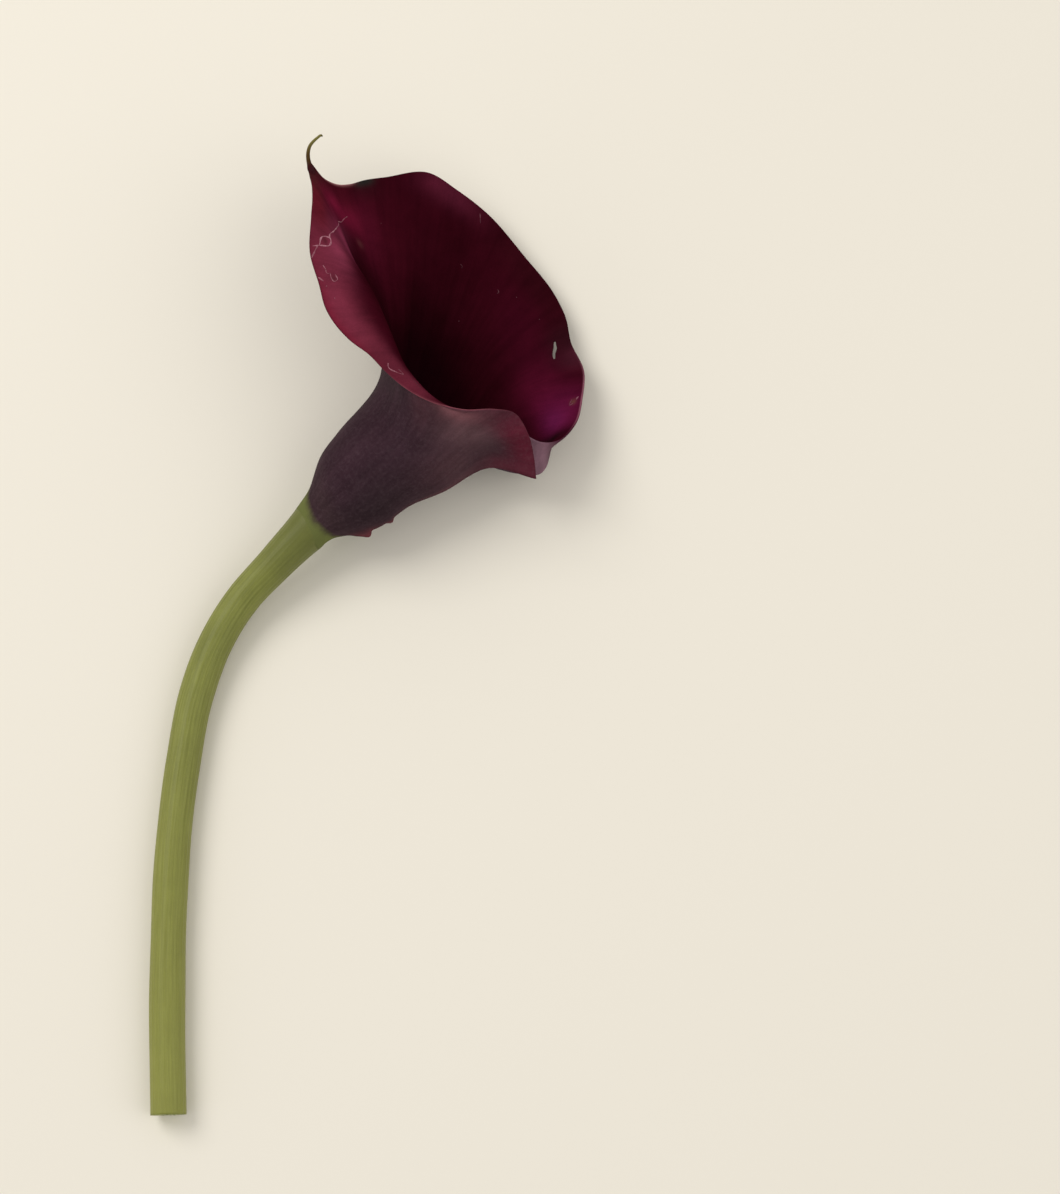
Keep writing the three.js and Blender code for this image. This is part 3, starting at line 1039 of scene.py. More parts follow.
    def _faces(self) -> Tuple[Array, Array]:
        """Outer and inner face of the blade, with the skirt round the stem's end.

        Returns:
            Points of the outer and of the inner face, which meet at the edges.
        """
        size = self.size
        middle = self._middle()
        normals = self._normals(middle)
        middle = middle + self._unevenness(middle)[..., None] * normals
        thin = smooth_step(size.thin_from, 1.0, self.rows)
        half = mix(size.thickness, size.rim_thickness, thin) / 2
        outer = middle + normals * (half + self._veins(Face.OUTER))[..., None]
        inner = middle - normals * (half + self._veins(Face.INNER))[..., None]
        skirt_outer, skirt_inner = self._skirt(outer)
        outer = np.concatenate([skirt_outer, outer], axis=1)
        inner = np.concatenate([skirt_inner, inner], axis=1)
        centre = (outer + inner) / 2
        reach = np.maximum(np.linalg.norm(outer - inner, axis=2) / 2, size.round_edge)
        share = np.clip(self._edge_distance(centre) / reach, 0.0, 1.0)
        share = np.sqrt(1.0 - (1.0 - share) ** 2)[..., None]
        return mix(centre, outer, share), mix(centre, inner, share)

    def _skirt(self, outer: Array) -> Tuple[Array, Array]:
        """Rows that bring the foot down on the stem's end and thin it out.

        Args:
            outer: Points of the outer face.

        Returns:
            The skirt's outer and inner points, the lowest row first.
        """
        skirt = self.size.skirt
        radial = FOOT.around(self._wrap())
        radius = self.stem.radius_at(skirt.length) + skirt.lift
        radius = radius - skirt.tuck * smooth_step(*skirt.covered, self.columns)
        end = self.stem.line.at(skirt.length / self.stem.line.length) + radius[:, None] * radial
        end = end - self.stem.slant(end, skirt.length) * FOOT.axis
        leaving = unit(outer[:, 0] - outer[:, 1]) * skirt.length
        arriving = unit(-FOOT.axis - skirt.lean * radial) * skirt.length
        steps = np.linspace(0.0, 1.0, skirt.rows + 1)[1:][None, :, None]
        corners = (outer[:, 0], leaving, end, arriving)
        rows = hermite(steps, *(corner[:, None] for corner in corners))
        thickness = mix(self.size.thickness, skirt.edge, smooth_step(0.0, 1.0, steps))
        inside = rows - radial[:, None] * thickness
        return rows[:, ::-1], inside[:, ::-1]

    def _values(self, grid: Array, side: Array) -> Array:
        """Rows of values for a whole face with its skirt: places, face, climb and colour.

        Args:
            grid: Points in mm.
            side: 0 on the outer face, 1 on the inner one.

        Returns:
            One row for each point.
        """
        rows = np.concatenate([np.zeros(self.size.skirt.rows), self.rows])
        ribs, rows = np.meshgrid(self.columns, rows, indexing="ij")
        outside = paint(OUTER_WASHES, ribs, rows)
        inside = paint(INNER_WASHES, ribs, rows)
        tint = mix(outside, inside, side[..., None])
        places = np.stack([ribs, rows, side, FOOT.climb(grid)], axis=-1)
        return np.concatenate([places, tint], axis=-1)

    def _blade(self) -> MeshPiece:
        """The closed sheet of the blade.

        Returns:
            The mesh under construction; the two faces share the rim and the margins.
        """
        outer, inner = self._faces()
        skipped = self.size.skirt.rows
        self.sides = {Face.OUTER: outer[:, skipped:], Face.INNER: inner[:, skipped:]}
        for face in (outer, inner):
            face[..., 2] = np.maximum(face[..., 2], 0.0)
        side = np.zeros(outer.shape[:2])
        side[:, -1] = side[0, :] = side[-1, :] = 0.5
        plan = MeshPiece("spathe_blade", self.COLUMNS)
        outside = plan.add(outer, self._values(outer, side))
        values = self._values(inner, np.ones_like(side))
        inside = outside.copy()
        inside[1:-1, :-1] = plan.add(inner[1:-1, :-1], values[1:-1, :-1])
        plan.grid(outside)
        plan.grid(inside[:, ::-1])
        plan.quads(outside[:-1, 0], inside[:-1, 0], inside[1:, 0], outside[1:, 0])
        return plan

    def _tip_line(self) -> Curve:
        """Centre line of the tip, from inside the blade to the hook's end.

        Returns:
            The line, in mm.
        """
        rib = float(self.rim.knots[TIP_RIB])
        faces = [
            [self.surface_point((rib, row), face) for row in self.tip.root_rows] for face in Face
        ]
        return Curve(np.concatenate([np.mean(faces, axis=0), TIP_LINE[1:]]))

    def _tip_radius(self, u: Array) -> Array:
        """Radius along the tip, thin where it starts in the blade.

        Args:
            u: Places along its centre line.

        Returns:
            Radii in mm.
        """
        size = self.tip
        free = np.clip((u - size.root) / (1.0 - size.root), 0.0, 1.0)
        radius = size.end_radius + size.taper * (1.0 - free)
        radius = radius + size.flare * np.exp(-free / size.flare_reach)
        swell = smooth_step(0.0, size.root_swell * size.root, u)
        radius = radius * mix(size.root_radius, 1.0, swell)
        return radius * np.sqrt(np.clip(1.0 - smooth_step(*size.rounding, u), size.end_share, 1.0))

    def _tip(self) -> MeshPiece:
        """The drawn-out tip, its root tapering into the blade.

        Returns:
            The mesh under construction.
        """
        size = self.tip
        u = np.linspace(0.0, 1.0, size.rings)
        centre = self._tip_line().at(u)
        tangent = unit(np.gradient(centre, axis=0))
        angle = circle(size.sides)[None, :, None]
        (many, deep), (few, shallow) = size.ribs
        ribbing = 1.0 + deep * np.cos(many * angle)
        ribbing = ribbing + shallow * np.sin(few * angle + size.twist * u[:, None, None])
        radius = self._tip_radius(u)[:, None, None] * ribbing
        points = centre[:, None] + radius * spokes(tangent[:, None], angle)
        plan = MeshPiece("spathe_tip", self.COLUMNS)
        values = self._tip_values(u)
        sides = np.repeat(values[:, None], size.sides, axis=1)
        plan.tube(points, sides, centre[[0, -1]], values[[0, -1]])
        return plan

    def _tip_values(self, u: Array) -> Array:
        """Rows of values along the tip: dark maroon at the root, olive along the hook.

        Args:
            u: Places along its centre line.

        Returns:
            One row for each place.
        """
        size = self.tip
        share = np.clip((u - size.root) / (1.0 - size.root), 0.0, 1.0)[:, None]
        tint = linear(size.root_tint)
        for colour, stretch in size.tints:
            tint = mix(tint, linear(colour), smooth_step(*stretch, share))
        places = np.broadcast_to([size.rib, 1.0, 0.5, self.FAR_UP], (len(u), 4))
        return np.concatenate([places, tint], axis=1)

    def _tear_cutter(self) -> Piece:
        """A wavy slit of the tear's width, standing through the blade.

        Returns:
            The closed cutter.
        """
        size = self.tear
        centre = self.surface_point(size.place, Face.INNER)
        normal = unit(np.asarray(size.direction))
        along = unit(np.cross([1.0, 0.0, 0.0], normal))
        width = np.cross(along, normal)
        v = np.linspace(-1.0, 1.0, size.steps)
        (bends, bend_start), (swells, swell_start) = size.bend_wave, size.swell_wave
        bend = -size.lean * v - size.bend * np.sin(bends * v + bend_start)
        half = size.width / 2 * np.sqrt(np.clip(1.0 - np.abs(v) ** size.roundness, 0.0, 1.0))
        half *= 1.0 + size.swell * np.sin(swells * v + swell_start)
        there_and_back = np.concatenate([v, v[-2:0:-1]])
        offset = np.concatenate([bend - half, (bend + half)[-2:0:-1]])
        outline = centre + (there_and_back * size.length / 2)[:, None] * along
        outline = outline + offset[:, None] * width
        deep = normal * size.depth / 2
        rings = np.stack([outline - deep, outline + deep])
        plan = MeshPiece("tear", ("side",))
        plan.tube(rings, np.zeros((*rings.shape[:2], 1)), rings.mean(axis=1), np.zeros((2, 1)))
        return plan.finish()

    def build(self) -> Piece:
        """Makes the spathe.

        Returns:
            The finished object, without its material.
        """
        plan = self._blade()
        piece = plan.finish()
        tip_plan = self._tip()
        join_solids(piece, tip_plan.finish(), "UNION")
        soften(piece, TIP_LINE[1], self.tip.soft_reach, self.tip.soft_rounds)
        join_solids(piece, self._tear_cutter(), "DIFFERENCE")
        plan.points += tip_plan.points
        plan.values += tip_plan.values
        plan.write_values(piece)
        piece.data.shade_smooth()
        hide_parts("spathe")
        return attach(piece, BODY)

    def surface_point(self, place: Place, face: Face) -> Array:
        """The point on a face of the finished blade at a place of it.

        Args:
            place: The place round the blade and along the rib.
            face: The face.

        Returns:
            The point in mm.
        """
        grid = self.sides[face]
        column = np.interp(place[0], self.columns, np.arange(len(self.columns)))
        row = np.interp(place[1], self.rows, np.arange(len(self.rows)))
        i, k = min(int(column), grid.shape[0] - 2), min(int(row), grid.shape[1] - 2)
        near = mix(grid[i, k], grid[i + 1, k], column - i)
        return mix(near, mix(grid[i, k + 1], grid[i + 1, k + 1], column - i), row - k)

    def dress(self, piece: Piece, finishes: Dict[Face, "SpatheFinish"]) -> None:
        """Gives each face of the spathe its material.

        Args:
            piece: The spathe.
            finishes: The finish of each face.
        """
        mesh = piece.data
        mesh.materials.clear()
        for face in Face:
            mesh.materials.append(finishes[face].material(face))
        side = np.zeros(len(mesh.vertices), dtype=np.float32)
        mesh.attributes["side"].data.foreach_get("value", side)
        for polygon in mesh.polygons:
            inside = side[list(polygon.vertices)].mean() > self.INNER_SIDE
            polygon.material_index = Face.INNER.value if inside else Face.OUTER.value


# --- the scars --------------------------------------------------------------------------------


@dataclass(frozen=True)
class Scar:
    """A healed scratch on the inner face: the places that it runs through and its width in mm."""

    places: Tuple[Place, ...]
    width: float = 0.2
    strength: float = 1.0


SCARS = (
    Scar(((0.3595, 0.963), (0.3755, 0.945), (0.381, 0.917), (0.3665, 0.925), (0.3595, 0.963)), 0.27),
    Scar(((0.3595, 0.963), (0.355, 0.988)), 0.2, 0.9),
    Scar(((0.3595, 0.968), (0.346, 0.985), (0.34, 0.995)), 0.26, 0.6),
    Scar(((0.381, 0.917), (0.3885, 0.912), (0.398, 0.893), (0.417, 0.86)), 0.19),
    Scar(((0.417, 0.86), (0.452, 0.82), (0.474, 0.862), (0.480, 0.874)), 0.15, 0.75),
    Scar(((0.3345, 0.961), (0.3285, 0.953)), 0.15, 0.7),
    Scar(((0.3262, 0.942), (0.319, 0.943), (0.3165, 0.936), (0.3195, 0.924), (0.326, 0.925)), 0.15, 0.7),
    Scar(((0.3262, 0.942), (0.325, 0.952), (0.329, 0.957)), 0.11, 0.5),
    Scar(((0.319, 0.992), (0.315, 0.975)), 0.2, 0.7),
    Scar(((0.310, 0.972), (0.3095, 0.968)), 0.3, 0.3),
    Scar(((0.213, 0.951), (0.2085, 0.966), (0.199, 0.957)), 0.17, 0.9),
    Scar(((0.199, 0.957), (0.196, 0.94), (0.204, 0.935)), 0.12, 0.5),
    Scar(((0.648, 0.985), (0.652, 0.965)), 0.12, 0.35),
    Scar(((0.8745, 0.985), (0.8775, 0.978)), 0.30, 1.0),
    Scar(((0.8765, 0.962), (0.883, 0.955), (0.881, 0.97)), 0.14, 0.4),
    Scar(((0.670, 0.703), (0.671, 0.703)), 0.18, 0.5),
    Scar(((0.732, 0.905), (0.733, 0.906)), 0.15, 0.4),
    Scar(((0.771, 0.93), (0.772, 0.931)), 0.15, 0.3),
    Scar(((0.296, 0.956), (0.297, 0.957)), 0.16, 0.5),
    Scar(((0.53, 0.868), (0.531, 0.869)), 0.15, 0.4),
    Scar(((0.706, 0.872), (0.7095, 0.868), (0.708, 0.861)), 0.12, 0.28),
    Scar(((0.642, 0.832), (0.646, 0.829), (0.645, 0.823)), 0.12, 0.2),
)


@dataclass(frozen=True)
class ScarSize:
    """How the scars' raised tissue is made; lengths in mm, and steps as places on the blade."""

    seed: int = 17
    step: float = 0.22
    least_steps: int = 6
    height: float = 0.07
    sink: float = 0.12
    full_width: float = 0.12
    wander: float = 0.05
    wander_reach: Place = (0.0042, 0.013)
    last_row: float = 0.9985
    aside: Place = (0.002, 0.0)
    upwards: Place = (0.0, 0.001)
    sides: int = 10
    swell: Place = (0.8, 0.3)
    swell_wave: float = 0.55
    swell_start: float = 6.0
    taper_steps: float = 2.5
    blunt: float = 0.12
    crest: float = 0.25
    paleness: Place = (0.55, 1.0)


class Scars:
    """The thin raised scars on the inner face of the spathe."""

    COLUMNS = ("scar", "red", "green", "blue")

    def __init__(self, size: ScarSize, spathe: Spathe) -> None:
        """Keeps the sizes.

        Args:
            size: How the scars are made.
            spathe: The finished spathe that they are on.
        """
        self.size = size
        self.spathe = spathe

    def _on_skin(self, places: Array) -> Array:
        """Points of the spathe's inner face."""
        return np.array([self.spathe.surface_point(place, Face.INNER) for place in places])

    def _path(self, scar: Scar, draw: np.random.Generator) -> Array:
        """Places that a scar runs through, close together and a little unsteady.

        Args:
            scar: The scar.
            draw: The draws that make it unsteady.

        Returns:
            One place for each step.
        """
        size = self.size
        places = np.array(scar.places)
        run = running_length(self._on_skin(places))
        count = max(size.least_steps, int(run[-1] / size.step))
        steps = np.linspace(0.0, 1.0, count)
        path = Curve(places, run / run[-1]).at(steps)
        shift = draw.normal(size=(count, 2)).cumsum(axis=0)
        shift -= steps[:, None] * shift[-1]
        shift *= size.wander / math.sqrt(count) * np.array(size.wander_reach)
        return np.clip(path + shift, 0.0, size.last_row)

    def _add(self, plan: MeshPiece, scar: Scar, draw: np.random.Generator) -> None:
        """Adds one scar: a flat closed tube half sunk into the skin.

        Args:
            plan: The mesh that it goes into.
            scar: The scar.
            draw: The draws that make it uneven.
        """
        size = self.size
        path = self._path(scar, draw)
        count = len(path)
        centre = self._on_skin(path)
        aside = self._on_skin(path + np.array(size.aside)) - centre
        upwards = self._on_skin(path + np.array(size.upwards)) - centre
        normal = unit(np.cross(aside, upwards))
        across = unit(np.cross(normal, unit(np.gradient(centre, axis=0))))
        wave = np.linspace(0.0, size.swell_wave * count, count)
        wave = wave + draw.uniform(0, size.swell_start)
        uneven = size.swell[0] + size.swell[1] * np.sin(wave)
        to_end = np.minimum(np.arange(count), np.arange(count)[::-1])
        taper = np.sqrt(np.clip(to_end / size.taper_steps + size.blunt, 0, 1))
        half = (scar.width * uneven * taper)[:, None, None]
        angle = circle(size.sides)[None, :, None]
        rise = np.where(np.sin(angle) > 0, size.height, size.sink)
        rise = rise * np.minimum(1.0, half / size.full_width)
        points = centre[:, None] + half * np.cos(angle) * across[:, None]
        points = points + rise * np.sin(angle) * normal[:, None]
        crest = np.clip(size.crest + np.sin(angle), 0.0, 1.0) * scar.strength
        crest = crest * draw.uniform(*size.paleness, (count, 1, 1))
        tint = paint(INNER_WASHES, path[:, 0], path[:, 1])[:, None]
        values = np.concatenate([crest, np.broadcast_to(tint, points.shape)], axis=2)
        plan.tube(points, values, centre[[0, -1]], values[[0, -1], 0])

    def build(self) -> Piece:
        """Makes the scars as one piece.

        Returns:
            The finished object, without its material.
        """
        draw = np.random.default_rng(self.size.seed)
        plan = MeshPiece("spathe_scars", self.COLUMNS)
        for scar in SCARS:
            self._add(plan, scar, draw)
        piece = plan.finish()
        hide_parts("spathe")
        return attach(piece, BODY)

    def dress(self, piece: Piece, finish: "ScarFinish") -> None:
        """Gives the scars their material."""
        cover(piece, finish.material())


# --- the stem ---------------------------------------------------------------------------------


@dataclass(frozen=True)
class CutSize:
    """The stem's cut end with its vascular bundles; lengths in mm."""

    seed: int = 3
    rings: int = 22
    crowding: float = 0.9
    bundles: int = 70
    spread: Place = (0.02, 0.86)
    bundle_radius: float = 0.24
    bundle_height: float = 0.16
    hollow: float = 0.3
    hollow_power: int = 6
    roughness: float = 0.05
    rough_seed: int = 8
    rough_size: float = 2.2


@dataclass(frozen=True)
class StemSize:
    """Sizes of the stem, in mm, and how finely it is made."""

    radius: float = 4.55
    flare: float = 2.2
    flare_reach: float = 11.0
    flare_power: float = 1.3
    hidden_end: float = 2.0
    hidden_radius: float = 5.1
    clasped: float = 6.0
    slanted: Place = (2.0, 16.0)
    sides: int = 120
    spacing: float = 0.6
    quick_share: float = 2.0
    ribs: int = 26
    rib_height: float = 0.045
    rib_bend: Place = (0.5, 9.0)
    rib_spread: Place = (0.8, 3)
    small_ribs: Place = (0.4, 1.0)
    rough_from: Place = (5.0, 14.0)
    unevenness: float = 0.07
    uneven_seed: int = 11
    uneven_size: float = 26.0
    cut: CutSize = CutSize()


class Stem:
    """The round, finely ribbed stem from its cut end up into the spathe's foot."""

    COLUMNS = ("angle", "run", "climb", "cut", "bundle")
    FAR_DOWN = -99.0

    def __init__(self, size: StemSize) -> None:
        """Keeps the sizes."""
        self.size = size
        self.line = Curve(STEM_LINE)

    def radius_at(self, distance: Array) -> Array:
        """Radius of the stem at a distance from the foot.

        Args:
            distance: Distances in mm.

        Returns:
            Radii in mm.
        """
        size = self.size
        swell = (np.maximum(distance, 0.0) / size.flare_reach) ** size.flare_power
        return size.radius + size.flare * np.exp(-swell)

    def _profile(self, distance: Array) -> Array:
        """Radius with the part inside the spathe's foot drawn in."""
        inside = 1.0 - smooth_step(-self.size.hidden_end, self.size.clasped, distance)
        return mix(self.radius_at(distance), self.size.hidden_radius, inside)

    def slant(self, points: Array, distance: Array) -> Array:
        """How far the slanted upper end shifts points down the stem.

        Args:
            points: Points in mm.
            distance: Their distances from the foot.

        Returns:
            Lengths in mm, with a last axis of one.
        """
        sideways = (points - np.asarray(FOOT.origin)) @ FOOT.across
        share = 1.0 - smooth_step(*self.size.slanted, distance)
        return FOOT.tilt * share * sideways[..., None]

    @staticmethod
    def _lying(centre: Array, spread: Array, radius: Array) -> Array:
        """Points round the centre line, none below the surface that the stem lies on.

        Args:
            centre: Points of the line.
            spread: Unit vectors round it, rings by sides.
            radius: Radii in mm.

        Returns:
            Points in mm.
        """
        points = centre[:, None] + radius[..., None] * spread
        points[..., 2] = np.maximum(points[..., 2], 0.0)
        return points

    @staticmethod
    def _values(points: Array, *columns: Array) -> Array:
        """Rows of values for points, from an array or a number for each column."""
        spread = [np.broadcast_to(column, points.shape[:-1]) for column in columns]
        return np.stack(spread, axis=-1)

    def _ribbing(self, u: Array, angle: Array) -> Array:
        """Height of the lengthwise ribs.

        Args:
            u: Places along the stem.
            angle: Angles round it.

        Returns:
            Heights in mm, rings by sides.
        """
        size = self.size
        (bend, bends), (spread, spreads) = size.rib_bend, size.rib_spread
        wave = size.ribs * angle + bend * np.sin(u[:, None] * bends)
        wave = wave + spread * np.sin(spreads * angle)
        small, shift = size.small_ribs
        return size.rib_height * (np.cos(wave) + small * np.cos(2.0 * wave + shift))

    def build(self) -> Piece:
        """Makes the stem.

        Returns:
            The finished object, without its material.
        """
        size = self.size
        length = self.line.length
        spacing = size.spacing * 1.0
        rings = int((length + size.hidden_end) / spacing)
        distance = np.linspace(-size.hidden_end, length, rings)
        u = distance / length
        centre = self.line.at(np.maximum(u, 0.0))
        centre = centre + np.minimum(distance, 0.0)[:, None] * unit(self.line.slopes[0])
        tangent = unit(np.gradient(centre, axis=0))
        angle = circle(size.sides)[None, :]
        spread = spokes(tangent[:, None], angle[..., None])
        rough = smooth_step(*size.rough_from, distance)[:, None]
        radius = self._profile(distance)[:, None] + rough * self._ribbing(u, angle)
        points = self._lying(centre, spread, radius)
        uneven = size.unevenness * Wobble(size.uneven_seed, size.uneven_size).at(points)
        points = self._lying(centre, spread, radius + rough * uneven)
        points = points - self.slant(points, distance[:, None, None]) * FOOT.axis
        plan = MeshPiece("stem_stalk", self.COLUMNS)
        run = distance[:, None]
        index = plan.add(points, self._values(points, angle, run, FOOT.climb(points), 0.0, 0.0))
        plan.grid(index, wrap=True)
        self._close(plan, index[-1], points[-1], tangent[-1])
        top = points[:1].mean(axis=1)
        middle = plan.add(top, self._values(top, 0.0, distance[:1], FOOT.climb(top), 0.0, 0.0))
        plan.cap(index[0][::-1], middle[0])
        piece = plan.finish()
        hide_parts("stem")
        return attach(piece, BODY)

    def _bundles(self, centre: Array, tangent: Array) -> Array:
        """Places of the vascular bundles on the cut end.

        Args:
            centre: The middle of the cut end.
            tangent: Its direction.

        Returns:
            Points in mm.
        """
        cut = self.size.cut
        draw = np.random.default_rng(cut.seed)
        radius = np.sqrt(draw.uniform(*cut.spread, cut.bundles)) * self.size.radius
        turn = draw.uniform(0, TURN, cut.bundles)
        return centre + radius[:, None] * spokes(tangent, turn[:, None])

    def _close(self, plan: MeshPiece, rim: Array, edge: Array, tangent: Array) -> None:
        """Closes the cut end: a slightly hollow face with its vascular bundles.

        Args:
            plan: The mesh of the stem.
            rim: Index numbers of the last ring.
            edge: Its points.
            tangent: The stem's direction there.
        """
        cut = self.size.cut
        centre = edge.mean(axis=0)
        share = np.linspace(1.0, 0.0, cut.rings + 1)[1:-1] ** cut.crowding
        rings = centre + (edge[None] - centre) * share[:, None, None]
        offset = rings[:, :, None] - self._bundles(centre, tangent)
        gap = np.linalg.norm(offset, axis=-1).min(axis=-1)
        bundle = np.exp(-((gap / cut.bundle_radius) ** 2))
        depth = cut.bundle_height * bundle - cut.hollow * (1.0 - share[:, None] ** cut.hollow_power)
        depth = depth + cut.roughness * Wobble(cut.rough_seed, cut.rough_size).at(rings)
        rings = rings + depth[..., None] * tangent
        rings[..., 2] = np.maximum(rings[..., 2], 0.0)
        run = self.line.length
        angle = circle(self.size.sides)[None, :]
        index = plan.add(rings, self._values(rings, angle, run, self.FAR_DOWN, 1.0, bundle))
        middle = (centre - cut.hollow * tangent)[None]
        end = plan.add(middle, self._values(middle, 0.0, run, self.FAR_DOWN, 1.0, 0.0))
        plan.grid(np.concatenate([rim[None], index]), wrap=True)
        plan.cap(index[-1], end[0])

    def dress(self, piece: Piece, finish: "StemFinish") -> None:
        """Gives the stem its material."""
        cover(piece, finish.material())


# --- the spadix -------------------------------------------------------------------------------


@dataclass(frozen=True)
class FloretZone:
    """A stretch of the spadix with florets of one kind, by height in mm."""

    start: float
    end: float
    pitch: float
    relief: float
    fade_in: Place = (-0.5, 0.3)
    fade_out: Place = (-0.4, 0.4)
    tallness: Place = (0.75, 1.1)
    reach: float = 0.6
    roundness: float = 2.4
    dimple: float = 0.35
    dimple_reach: float = 0.16

    def share(self, height: Array) -> Array:
        """How much of the zone's florets shows at a height.

        Args:
            height: Heights in mm.

        Returns:
            Shares from 0 to 1.
        """
        rise = (self.start + self.fade_in[0], self.start + self.fade_in[1])
        fall = (self.end + self.fade_out[0], self.end + self.fade_out[1])
        return between(rise, fall, height)


@dataclass(frozen=True)
class SpadixSize:
    """Sizes of the spadix, in mm, and how finely it is made."""

    length: float = 33.0
    radius: float = 3.1
    stalk_radius: float = 2.3
    stalk: float = 3.5
    rounded_from: float = 0.6
    rounded_taper: float = 0.25
    rounded_power: int = 6
    rounded_least: float = 0.004
    slanted: float = 4.5
    gap: float = 0.6
    sides: int = 200
    rings: int = 260
    quick_share: int = 2
    crowding: float = 0.9
    full_relief: float = 0.4
    female_end: Place = (12.0, 13.0)
    zones: Tuple[FloretZone, ...] = (
        FloretZone(3.4, 12.5, 1.9, 0.42),
        FloretZone(12.5, 33.0, 1.15, 0.30),
    )


class Spadix:
    """The club of florets standing on the stem's end, inside the tube."""

    COLUMNS = ("height", "floret", "female")
    GOLDEN_ANGLE = math.pi * (3.0 - math.sqrt(5.0))

    def __init__(self, size: SpadixSize) -> None:
        """Keeps the sizes."""
        self.size = size

    def _club_radius(self, height: Array) -> Array:
        """Radius of the club without its florets.

        Args:
            height: Heights in mm.

        Returns:
            Radii in mm.
        """
        size = self.size
        body = mix(size.stalk_radius, size.radius, smooth_step(0.0, size.stalk, height))
        end = (height / size.length - size.rounded_from) / (1.0 - size.rounded_from)
        end = np.maximum(0.0, end)
        narrow = size.rounded_taper * end + (1.0 - size.rounded_taper) * end**size.rounded_power
        return body * np.sqrt(np.maximum(size.rounded_least, 1.0 - narrow))

    def _zone_relief(self, zone: FloretZone, height: Array, angle: Array) -> Array:
        """Height of one zone's florets above the club.

        Args:
            zone: The zone.
            height: Heights of the points.
            angle: Their angles round the club.

        Returns:
            Heights in mm.
        """
        step = zone.pitch**2 / (TURN * self.size.radius)
        count = int((zone.end - zone.start) / step)
        draw = np.random.default_rng(int(zone.pitch * 100))
        order = np.arange(count)
        nearest = np.full(height.shape, np.inf)
        best = np.zeros(height.shape)
        florets = zip(
            zone.start + order * step,
            order * self.GOLDEN_ANGLE,
            draw.uniform(*zone.tallness, count),
        )
        for centre, turn, tall in florets:
            arc = np.arctan2(np.sin(angle - turn), np.cos(angle - turn)) * self.size.radius
            gap = np.hypot(height - centre, arc)
            best = np.where(gap < nearest, tall, best)
            nearest = np.minimum(nearest, gap)
        nearest = nearest / zone.pitch
        dome = np.maximum(0.0, 1.0 - (nearest / zone.reach) ** zone.roundness)
        dimple = zone.dimple * np.exp(-((nearest / zone.dimple_reach) ** 2))
        return zone.relief * best * (dome - dimple)

    def build(self) -> Piece:
        """Makes the spadix.

        Returns:
            The finished object, without its material.
        """
        size = self.size
        share = 1
        steps = np.linspace(0.0, 1.0, size.rings // share)
        height = (size.length * np.sin(math.pi / 2 * steps**size.crowding))[:, None]
        height, angle = np.broadcast_arrays(height, circle(size.sides // share)[None, :])
        club = self._club_radius(height)
        relief = np.zeros(height.shape)
        for zone in size.zones:
            florets = zone.share(height) * self._zone_relief(zone, height, angle)
            relief = np.maximum(relief, florets)
        radius = club + relief * np.minimum(1.0, club / size.stalk_radius)
        sideways = radius * np.cos(angle)
        lift = -FOOT.tilt * sideways * np.maximum(0.0, 1.0 - height / size.slanted)
        points = FOOT.place(size.gap + height + lift, sideways, -radius * np.sin(angle))
        female = 1.0 - smooth_step(*size.female_end, height)
        values = np.stack([height / size.length, relief / size.full_relief, female], axis=-1)
        plan = MeshPiece("spadix_club", self.COLUMNS)
        plan.tube(points, values, points[[0, -1]].mean(axis=1), values[[0, -1], 0])
        piece = plan.finish()
        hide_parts("spadix")
        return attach(piece, BODY)

    def dress(self, piece: Piece, finish: "SpadixFinish") -> None:
        """Gives the spadix its material."""
        cover(piece, finish.material())


# --- shader building --------------------------------------------------------------------------


